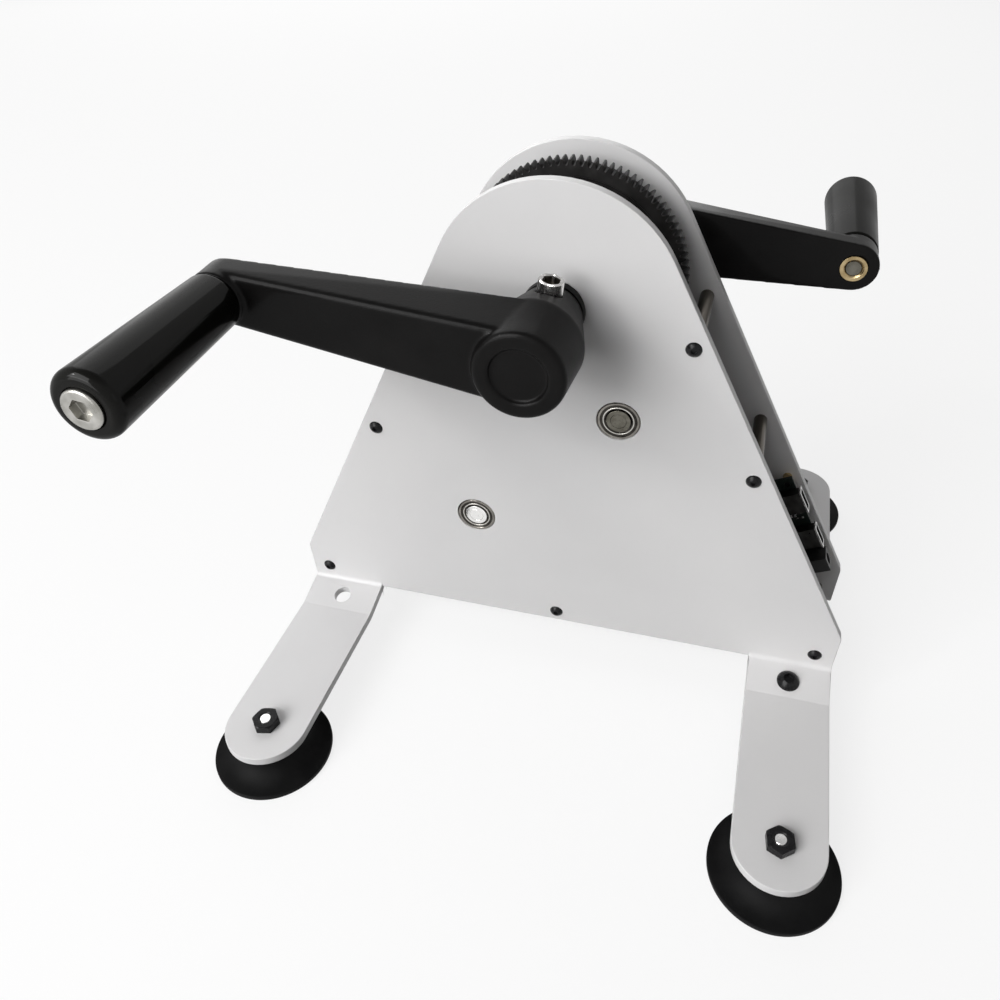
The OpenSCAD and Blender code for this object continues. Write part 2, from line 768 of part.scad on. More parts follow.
module crank_arm(rear) {
    socket = shaft_end - hub_back + 0.5;
    hub_round = 2.5;
    rim_r = hub_d / 2 - hub_round;
    on_crank(rear) difference() {
        union() {
            hull() {
                arm_disc(hub_root_d - 1, arm_root_w, arm_back);
                translate([-arm_r, 0, 0]) arm_disc(arm_end_d, arm_end_d - 0.6, arm_end_back);
            }
            rotate_extrude() {
                polygon([
                    [0, hub_back], [boss_d / 2, hub_back], [hub_root_d / 2, arm_back],
                    [hub_d / 2, hub_front - hub_round], [rim_r, hub_front], [0, hub_front]
                ]);
                translate([rim_r, hub_front - hub_round]) circle(hub_round);
            }
            translate([-arm_r, 0, 0]) rotate_extrude()
                bar_profile(arm_end_d / 2 - 0.3, arm_front - arm_round, collar_front, 0.8);
        }
        translate([0, 0, hub_back - 1]) cylinder(r = crank_shaft_d / 2 + seat_gap, h = socket + 1);
        translate([0, 0, hub_front - hub_recess]) cylinder(d = hub_recess_d, h = hub_recess + 1);
        translate([0, 0, clamp_at]) rotate([-90, 0, 0]) {
            cylinder(r = clamp_d / 2 + seat_gap, h = hub_d);
            translate([0, 0, clamp_seat]) cylinder(r = clamp_head_r + skin_gap, h = hub_d);
        }
        translate([-arm_r, 0, arm_back]) {
            cylinder(r = pivot_thread_d / 2 + seat_gap, h = collar_front - arm_back + 1);
            cylinder(r = insert_d / 2 + seat_gap, h = insert_back + insert_len - arm_back);
        }
    }
}

module front_crank_arm() { color([0.1, 0.1, 0.1]) crank_arm(false); }
module rear_crank_arm() { color([0.1, 0.1, 0.1]) crank_arm(true); }

module clamp_screws() {
    tip = crank_shaft_d / 2 + seat_gap;
    color("silver") for (rear = [false, true]) on_crank(rear)
        translate([0, 0, clamp_at]) rotate([-90, 0, 0]) difference() {
            union() {
                translate([0, 0, tip]) cylinder(d = clamp_d, h = clamp_seat - tip + 1);
                rotate_extrude() bar_profile(clamp_head_r, clamp_seat, clamp_seat + clamp_head_h, 0.6);
            }
            translate([0, 0, clamp_seat + clamp_head_h / 2])
                cylinder(d = clamp_head_d * 0.62, h = clamp_head_h, $fn = 6);
        }
}

// Grips, with the bolts that they turn on

module grip(rear) {
    inner_r = grip_inner_d / 2;
    outer_r = grip_outer_d / 2;
    belly = grip_end - grip_round;
    color([0.06, 0.06, 0.06]) on_crank(rear) translate([-arm_r, 0, 0]) difference() {
        rotate_extrude() {
            polygon([
                [0, grip_start], [inner_r - grip_lip, grip_start], [inner_r, grip_start + grip_lip],
                [outer_r, belly], [outer_r - grip_round, grip_end], [0, grip_end]
            ]);
            translate([outer_r - grip_round, belly]) circle(grip_round);
            translate([inner_r - grip_lip, grip_start + grip_lip]) circle(grip_lip);
        }
        translate([0, 0, grip_start - 1]) cylinder(r = pivot_d / 2 + run_gap, h = grip_len + 2);
        translate([0, 0, grip_end - pivot_pocket])
            cylinder(r = pivot_head_d / 2 + skin_gap, h = pivot_pocket + 1);
    }
}

module front_grip() { grip(false); }
module rear_grip() { grip(true); }

module grip_bolt(rear) {
    seat = grip_end - pivot_pocket + skin_gap;
    foot = insert_back + 0.6;
    color("silver") on_crank(rear) translate([-arm_r, 0, 0]) difference() {
        union() {
            translate([0, 0, foot]) cylinder(d = pivot_thread_d, h = collar_front - foot + 1);
            translate([0, 0, collar_front]) cylinder(d = pivot_d, h = seat - collar_front + 1);
            rotate_extrude() bar_profile(pivot_head_d / 2, seat, seat + pivot_head_h, 1);
        }
        translate([0, 0, seat + pivot_head_h * 0.4]) cylinder(d = pivot_d * 0.95, h = pivot_head_h, $fn = 6);
    }
}

module front_grip_bolt() { grip_bolt(false); }
module rear_grip_bolt() { grip_bolt(true); }

module grip_inserts() {
    bore_r = pivot_thread_d / 2 + seat_gap;
    sink = 1.2;
    color("goldenrod") for (rear = [false, true]) on_crank(rear) translate([-arm_r, 0, insert_back])
        rotate_extrude() polygon([
            [bore_r + sink, 0], [insert_d / 2, 0], [insert_d / 2, insert_len - seat_gap],
            [bore_r, insert_len - seat_gap], [bore_r, sink]
        ]);
}

// Idler: pinion and belt pulley on one shaft

module idler_shaft() {
    color("silver") rod(small_shaft_d / 2, -face, face, idler_at);
}

module idler_pinion() {
    color("darkgray") difference() {
        slab(gear_front - pinion_over, gear_back + pinion_over) translate(idler_at)
            rotate(pinion_dir + 180 + 180 / pinion_teeth) gear_outline(pinion_teeth, tooth_shift);
        rod(small_shaft_d / 2 + seat_gap, gear_front - 2, gear_back + 2, idler_at);
    }
}

// Half drawing of a grooved pulley
module pulley_half(r) {
    bore_r = small_shaft_d / 2 + seat_gap;
    difference() {
        translate([bore_r, -belt_mid - pulley_w / 2]) square([r - bore_r, pulley_w]);
        for (i = [0 : belt_ribs - 1]) translate([r, -belt_mid + (i - (belt_ribs - 1) / 2) * rib_pitch])
            polygon([[0.01, -rib_top / 2], [0.01, rib_top / 2], [-rib_depth, 0]]);
    }
}

module idler_pulley() {
    hub_r = small_shaft_d / 2 + 4;
    rim = 5;
    dish = 3.5;
    color("darkgray") difference() {
        turned(idler_at) pulley_half(idler_pulley_r);
        for (y = [-belt_mid - pulley_w / 2 - 1, -belt_mid + pulley_w / 2 - dish])
            tube(idler_pulley_r - rim, hub_r, y, y + dish + 1, idler_at);
    }
}

module idler_sleeves() {
    r_in = small_shaft_d / 2 + seat_gap;
    r_out = race_in(small_od, small_shaft_d);
    inside = face - small_w;
    color("gray") {
        tube(r_out, r_in, -inside, -belt_mid - pulley_w / 2, idler_at);
        tube(r_out, r_in, -belt_mid + pulley_w / 2, gear_front - pinion_over, idler_at);
        tube(r_out, r_in, gear_back + pinion_over, inside, idler_at);
    }
}

// Ribbed belt round both pulleys

// Drawing of the belt's section on a pulley of radius r: radius, and width about 0
module belt_section(r) {
    base = r + skin_gap;
    rib_h = rib_depth - skin_gap;
    rib_half = rib_top / 2 - skin_gap / 2;
    translate([base, -belt_w / 2]) square([belt_t, belt_w]);
    for (i = [0 : belt_ribs - 1]) translate([base, (i - (belt_ribs - 1) / 2) * rib_pitch])
        polygon([[0.2, -rib_half], [0.2, rib_half], [-rib_h, 0.1], [-rib_h, -0.1]]);
}

module drive_belt() {
    color([0.08, 0.08, 0.08]) translate([0, -belt_mid, 0]) rotate([90, 0, 0]) {
        translate(idler_at) {
            rotate(belt_dir + belt_kappa) rotate_extrude(angle = 360 - 2 * belt_kappa)
                belt_section(idler_pulley_r);
            rotate(belt_dir + belt_kappa) rotate([90, 0, 0]) linear_extrude(belt_run)
                belt_section(idler_pulley_r);
            rotate(belt_dir - belt_kappa) translate([0, belt_run, 0]) rotate([90, 0, 0])
                linear_extrude(belt_run) belt_section(idler_pulley_r);
        }
        translate(gen_at) rotate(belt_dir - belt_kappa) rotate_extrude(angle = 2 * belt_kappa)
            belt_section(gen_pulley_r);
    }
}

// Generator

function gen_screw_places() = [
    for (i = [0 : gen_screws - 1])
        gen_at + gen_screw_pitch_r * [cos(45 + 360 * i / gen_screws), sin(45 + 360 * i / gen_screws)]
];

module generator_case() {
    color("slategray") difference() {
        turned(gen_at) difference() {
            union() {
                translate([0, -gen_front]) square([gen_d / 2, half_gap + gen_front]);
                translate([0, half_gap - flange_t]) square([gen_flange_d / 2, flange_t]);
            }
            translate([0, -gen_front + gen_wall]) square([gen_bore_r, half_gap + gen_front]);
        }
        rod(small_shaft_d / 2 + 1, -gen_front - 1, 0, gen_at);
        for (at = gen_screw_places())
            rod(gen_screw_r + seat_gap, half_gap - flange_t - 1, half_gap + 1, at);
    }
}

module generator_screws() {
    reach = plate_t + flange_t;
    color("dimgray") for (at = gen_screw_places())
        translate([at[0], face, at[1]]) rotate([-90, 0, 0])
            dome_screw(2 * gen_screw_r, 4 * gen_screw_r - 0.2, reach);
}

module generator_magnets() {
    r_in = gen_bore_r - magnet_t;
    span = 140;
    y = core_front - (magnet_len - core_len) / 2;
    color([0.25, 0.25, 0.27]) for (side = [0, 180])
        translate([gen_at[0], y, gen_at[1]]) rotate([-90, 0, 0]) rotate([0, 0, side - span / 2])
            rotate_extrude(angle = span) translate([r_in, 0]) square([magnet_t - seat_gap, magnet_len]);
}

// Angle of the two brushes about the generator's axis
brush_turns = [0, 180];

module at_brushes() {
    mid = commutator_back - commutator_len / 2;
    for (a = brush_turns) translate([gen_at[0], mid, gen_at[1]]) rotate([0, a, 0]) children();
}

module brush_ring() {
    r_in = commutator_r + 4;
    slot_w = brush_w + 2 * seat_gap;
    color("saddlebrown") difference() {
        tube(gen_bore_r - seat_gap, r_in, commutator_back - commutator_len, commutator_back, gen_at);
        at_brushes() translate([0, -slot_w / 2, -slot_w / 2])
            cube([commutator_r + skin_gap + brush_len + seat_gap, slot_w, slot_w]);
    }
}

module brushes() {
    start = commutator_r + skin_gap;
    color([0.15, 0.15, 0.15]) at_brushes() translate([start, -brush_w / 2, -brush_w / 2])
        cube([brush_len, brush_w, brush_w]);
}

module generator_shaft() {
    color("silver") rod(small_shaft_d / 2, -face, face, gen_at);
}

module generator_pulley() {
    color("darkgray") {
        turned(gen_at) pulley_half(gen_pulley_r);
        tube(race_in(small_od, small_shaft_d), small_shaft_d / 2 + seat_gap,
            -face + small_w, -belt_mid - pulley_w / 2, gen_at);
    }
}

module armature_core() {
    slot_w = 3;
    slot_deep = 9;
    color("gray") difference() {
        slab(core_front, core_front + core_len) translate(gen_at) difference() {
            circle(core_r);
            for (i = [0 : core_slots - 1]) rotate(360 * i / core_slots)
                translate([core_r - slot_deep, -slot_w / 2]) square([slot_deep + 1, slot_w]);
        }
        rod(small_shaft_d / 2 + seat_gap, core_front - 1, core_front + core_len + 1, gen_at);
    }
}

module armature_windings() {
    at_r = core_r - 5;
    color("peru") for (y = [core_front - winding_r - seat_gap, core_front + core_len + winding_r + seat_gap])
        turned(gen_at) translate([at_r, y]) circle(winding_r);
}

module commutator() {
    color("peru") tube(commutator_r, small_shaft_d / 2 + seat_gap,
        commutator_back - commutator_len, commutator_back, gen_at);
}

// Output board on the rear plate, along the right-hand slanting edge

// Calls its children at the board's four screws, on the plane of the plate's inner face
module board_screw_places() {
    for (x = [board_corner, board_deep - board_corner]) for (z = [board_corner, board_len - board_corner])
        on_edge(board_start) translate([-board_edge - x, half_gap, -z]) children();
}

module output_board() {
    color("darkgreen") difference() {
        on_edge(board_start) translate([-board_edge - board_deep, board_y, -board_len])
            cube([board_deep, board_t, board_len]);
        board_screw_places() rotate([-90, 0, 0])
            cylinder(r = board_screw_r + screw_gap, h = 3 * standoff_len, center = true);
    }
}

module board_standoffs() {
    color("gold") board_screw_places() rotate([90, 0, 0]) difference() {
        cylinder(r = standoff_r, h = standoff_len);
        translate([0, 0, -1]) cylinder(r = board_screw_r + seat_gap, h = standoff_len + 2);
    }
}

module board_screws() {
    color("dimgray") board_screw_places() translate([0, plate_t, 0]) rotate([-90, 0, 0])
        dome_screw(2 * board_screw_r, 5.6, plate_t + standoff_len + board_t);
}

module usb_shell(at) {
    color("silver") on_edge(board_start + at)
        translate([-mouth_inset - usb_deep, board_y - usb_h, -usb_w / 2]) difference() {
            cube([usb_deep, usb_h, usb_w]);
            translate([usb_wall, usb_wall, usb_wall])
                cube([usb_deep, usb_h - 2 * usb_wall, usb_w - 2 * usb_wall]);
        }
}

module upper_usb_shell() { usb_shell(usb_first); }
module lower_usb_shell() { usb_shell(usb_first + usb_pitch); }

module usb_tongues() {
    tongue_w = usb_w - 2.1;
    base = 3;
    color([0.1, 0.1, 0.1]) for (at = [usb_first, usb_first + usb_pitch])
        on_edge(board_start + at) translate([-mouth_inset - usb_deep + usb_wall, board_y - usb_wall, 0]) {
            translate([0, -usb_h + 2 * usb_wall, -usb_w / 2 + usb_wall])
                cube([base, usb_h - 2 * usb_wall, usb_w - 2 * usb_wall]);
            translate([0, -tongue_t - 0.6, -tongue_w / 2]) cube([usb_deep - 2, tongue_t, tongue_w]);
        }
}

// Centre of the power jack's mouth
module on_jack() {
    on_edge(board_start + jack_at) translate([-mouth_inset, board_y - jack_h / 2, 0])
        rotate([0, -90, 0]) children();
}

module power_jack() {
    depth = jack_deep - 3;
    color([0.1, 0.1, 0.1]) on_jack() difference() {
        translate([-jack_w / 2, -jack_h / 2, 0]) cube([jack_w, jack_h, jack_deep]);
        translate([0, 0, -1]) cylinder(d = jack_hole_d, h = depth + 1);
    }
}

module power_jack_pin() {
    depth = jack_deep - 3;
    color("silver") on_jack() translate([0, 0, 1]) cylinder(d = jack_pin_d, h = depth - 1);
}

module choke_coil() {
    core = 6;
    wire = 2.2;
    color("peru") on_edge(board_start + board_len / 2 - 12)
        translate([-board_edge - board_deep + core + wire + 1, board_y - wire, 0]) rotate([90, 0, 0])
            rotate_extrude() translate([core, 0]) circle(wire);
}

module board_capacitors() {
    cap_r = 4;
    cap_h = 9;
    cap_pitch = 3 * cap_r;
    color("navy") for (i = [0, 1]) on_edge(board_start + board_len / 2 + cap_r / 2 + i * cap_pitch)
        translate([-board_edge - board_deep + cap_r + 2, board_y, 0]) rotate([90, 0, 0])
            rotate_extrude() bar_profile(cap_r, 0, cap_h, 0.8);
}

front_plate();
rear_plate();
spacer_posts();
front_post_screws();
rear_post_screws();
front_left_foot();
front_right_foot();
rear_left_foot();
rear_right_foot();
foot_studs();
foot_nuts();
leg_screw();
leg_screw_nut();
crank_bearing_outer_rings();
crank_bearing_balls();
crank_bearing_shields();
small_bearing_outer_rings();
small_bearing_balls();
small_bearing_shields();
drive_belt();
generator_case();
generator_magnets();
brush_ring();
brushes();
generator_screws();
output_board();
board_standoffs();
board_screws();
upper_usb_shell();
lower_usb_shell();
usb_tongues();
power_jack();
power_jack_pin();
choke_coil();
board_capacitors();
crank_shaft();
crank_bearing_inner_rings();
drive_gear();
crank_sleeves();
hub_rings();
front_crank_arm();
rear_crank_arm();
clamp_screws();
front_grip_bolt();
rear_grip_bolt();
grip_inserts();
front_grip();
rear_grip();
idler_shaft();
idler_bearing_inner_rings();
idler_pinion();
idler_pulley();
idler_sleeves();
generator_shaft();
generator_bearing_inner_rings();
generator_pulley();
armature_core();
armature_windings();
commutator();
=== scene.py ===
import json
import math
import bpy
from mathutils import Matrix, Vector


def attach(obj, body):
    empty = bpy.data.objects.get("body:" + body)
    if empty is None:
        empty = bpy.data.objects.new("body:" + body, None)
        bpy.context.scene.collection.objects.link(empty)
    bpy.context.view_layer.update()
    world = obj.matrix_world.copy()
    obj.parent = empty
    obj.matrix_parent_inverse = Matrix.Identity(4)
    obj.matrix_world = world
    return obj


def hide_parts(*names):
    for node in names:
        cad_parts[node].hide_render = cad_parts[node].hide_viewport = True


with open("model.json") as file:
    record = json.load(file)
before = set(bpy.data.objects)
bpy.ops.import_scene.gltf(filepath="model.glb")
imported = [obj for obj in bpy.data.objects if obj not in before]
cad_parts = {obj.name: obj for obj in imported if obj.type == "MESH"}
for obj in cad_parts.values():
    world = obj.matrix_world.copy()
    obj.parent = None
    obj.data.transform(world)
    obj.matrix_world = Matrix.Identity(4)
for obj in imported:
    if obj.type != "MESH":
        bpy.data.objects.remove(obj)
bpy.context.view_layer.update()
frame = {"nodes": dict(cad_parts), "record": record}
scene = bpy.context.scene
scene.view_settings.view_transform = "Standard"


# camera, from the fit to the picture
cameraSet = {
    "sensor": 36, "near": 0.01,
    "place": (0.088686, -0.379196, 0.420813),
    "right": (0.96243, 0.27004, -0.02842),
    "down": (0.14106, -0.58668, -0.79744),
    "ahead": (-0.23201, 0.76347, -0.60273),
    "lens": 31.417,
    "shift": (-0.02292, -0.0418),
}

cameraData = bpy.data.cameras.new("pictureCamera")
cameraData.sensor_width = cameraSet["sensor"]
cameraData.lens = cameraSet["lens"]
cameraData.shift_x, cameraData.shift_y = cameraSet["shift"]
cameraData.clip_start = cameraSet["near"]
cameraObject = bpy.data.objects.new("pictureCamera", cameraData)
scene.collection.objects.link(cameraObject)
turn = Matrix((cameraSet["right"], cameraSet["down"], cameraSet["ahead"])).transposed()
turn.col[1] *= -1
turn.col[2] *= -1
cameraObject.matrix_world = Matrix.Translation(cameraSet["place"]) @ turn.to_4x4()
scene.camera = cameraObject
print("camera placed")


# lamps, world and floor: places and sizes in metres
lampSet = {
    "look": (0, 0, 0.15),
    "lamps": {
        "key": {"at": (-1.10, -1.64, 1.52), "size": 1.6, "watts": 46.5},
        "front": {"at": (-1.20, -2.10, 0.45), "size": 1.4, "watts": 22},
        "back": {"at": (-0.90, 1.90, 1.30), "size": 2.6, "watts": 24},
        "side": {"at": (1.90, -0.90, 0.60), "size": 0.8, "watts": 0.6},
        "glint": {"at": (-1.30, -1.10, 1.40), "size": 0.12, "watts": 3.0},
    },
}
worldSet = {
    "light": (0.0, 0.29), "toward": (-0.75, -0.38, 0.54), "tint": (1.0, 0.995, 0.99, 1),
    "span": (-0.8, 0.9), "seen": (0.857, 0.35), "rise": (0.62, 0.95),
}
floorSet = {
    "size": 60, "drop": 0.0002, "bounce": (0.10, 0.10, 0.10, 1), "seen": (0.90, 0.90, 0.90, 1), "glow": 0.80,
    "rough": 0.9, "spec": 0.1,
}

for name, lamp in lampSet["lamps"].items():
    data = bpy.data.lights.new(name + "Lamp", "AREA")
    data.size = lamp["size"]
    data.energy = lamp["watts"]
    item = bpy.data.objects.new(name + "Lamp", data)
    item.location = lamp["at"]
    aim = Vector(lampSet["look"]) - Vector(lamp["at"])
    item.rotation_euler = aim.to_track_quat("-Z", "Y").to_euler()
    scene.collection.objects.link(item)


def seenDirectly(tree):
    # 1 for rays that come from the camera, a mirror or glass
    path = tree.nodes.new("ShaderNodeLightPath")
    first = tree.nodes.new("ShaderNodeMath")
    first.operation = "MAXIMUM"
    second = tree.nodes.new("ShaderNodeMath")
    second.operation = "MAXIMUM"
    tree.links.new(path.outputs["Is Camera Ray"], first.inputs[0])
    tree.links.new(path.outputs["Is Glossy Ray"], first.inputs[1])
    tree.links.new(first.outputs[0], second.inputs[0])
    tree.links.new(path.outputs["Is Transmission Ray"], second.inputs[1])
    return second.outputs[0]


def mapRange(tree, value, given, wanted):
    node = tree.nodes.new("ShaderNodeMapRange")
    node.inputs["From Min"].default_value, node.inputs["From Max"].default_value = given
    node.inputs["To Min"].default_value, node.inputs["To Max"].default_value = wanted
    tree.links.new(value, node.inputs["Value"])
    return node.outputs["Result"]


world = bpy.data.worlds.new("paleRoom")
scene.world = world
world.use_nodes = True
tree = world.node_tree
shade = tree.nodes["Background"]
shade.inputs["Color"].default_value = worldSet["tint"]
seen = seenDirectly(tree)
place = tree.nodes.new("ShaderNodeTexCoord")
lean = tree.nodes.new("ShaderNodeVectorMath")  # brighter room towards the window side
lean.operation = "DOT_PRODUCT"
lean.inputs[1].default_value = worldSet["toward"]
tree.links.new(place.outputs["Generated"], lean.inputs[0])
room = mapRange(tree, lean.outputs["Value"], worldSet["span"], worldSet["light"])
height = tree.nodes.new("ShaderNodeSeparateXYZ")
tree.links.new(place.outputs["Generated"], height.inputs["Vector"])
# the backdrop darkens towards the ceiling
ceiling = mapRange(tree, height.outputs["Z"], worldSet["rise"], worldSet["seen"])
level = tree.nodes.new("ShaderNodeMix")
tree.links.new(ceiling, level.inputs["B"])
tree.links.new(seen, level.inputs["Factor"])
tree.links.new(room, level.inputs["A"])
tree.links.new(level.outputs["Result"], shade.inputs["Strength"])

for other in bpy.context.selected_objects:
    other.select_set(False)
bpy.ops.mesh.primitive_plane_add(size=floorSet["size"], location=(0, 0, -floorSet["drop"]))
floor = bpy.context.object
floor.name = "paleFloor"
floorPaint = bpy.data.materials.new("paleFloor")
floorPaint.use_nodes = True
tree = floorPaint.node_tree
matte = tree.nodes["Principled BSDF"]
matte.inputs["Roughness"].default_value = floorSet["rough"]
matte.inputs["Specular IOR Level"].default_value = floorSet["spec"]
glow = tree.nodes.new("ShaderNodeEmission")
mix = tree.nodes.new("ShaderNodeMixShader")
seen = seenDirectly(tree)
tone = tree.nodes.new("ShaderNodeMixRGB")
tone.inputs["Color1"].default_value = floorSet["bounce"]
tone.inputs["Color2"].default_value = floorSet["seen"]
tree.links.new(seen, tone.inputs["Fac"])
tree.links.new(tone.outputs["Color"], matte.inputs["Base Color"])
share = tree.nodes.new("ShaderNodeMath")
share.operation = "MULTIPLY"
share.inputs[1].default_value = floorSet["glow"]
tree.links.new(seen, share.inputs[0])
tree.links.new(share.outputs[0], mix.inputs["Fac"])
tree.links.new(matte.outputs[0], mix.inputs[1])
tree.links.new(glow.outputs[0], mix.inputs[2])
tree.links.new(mix.outputs[0], tree.nodes["Material Output"].inputs["Surface"])
floor.data.materials.append(floorPaint)
print("stage lit")


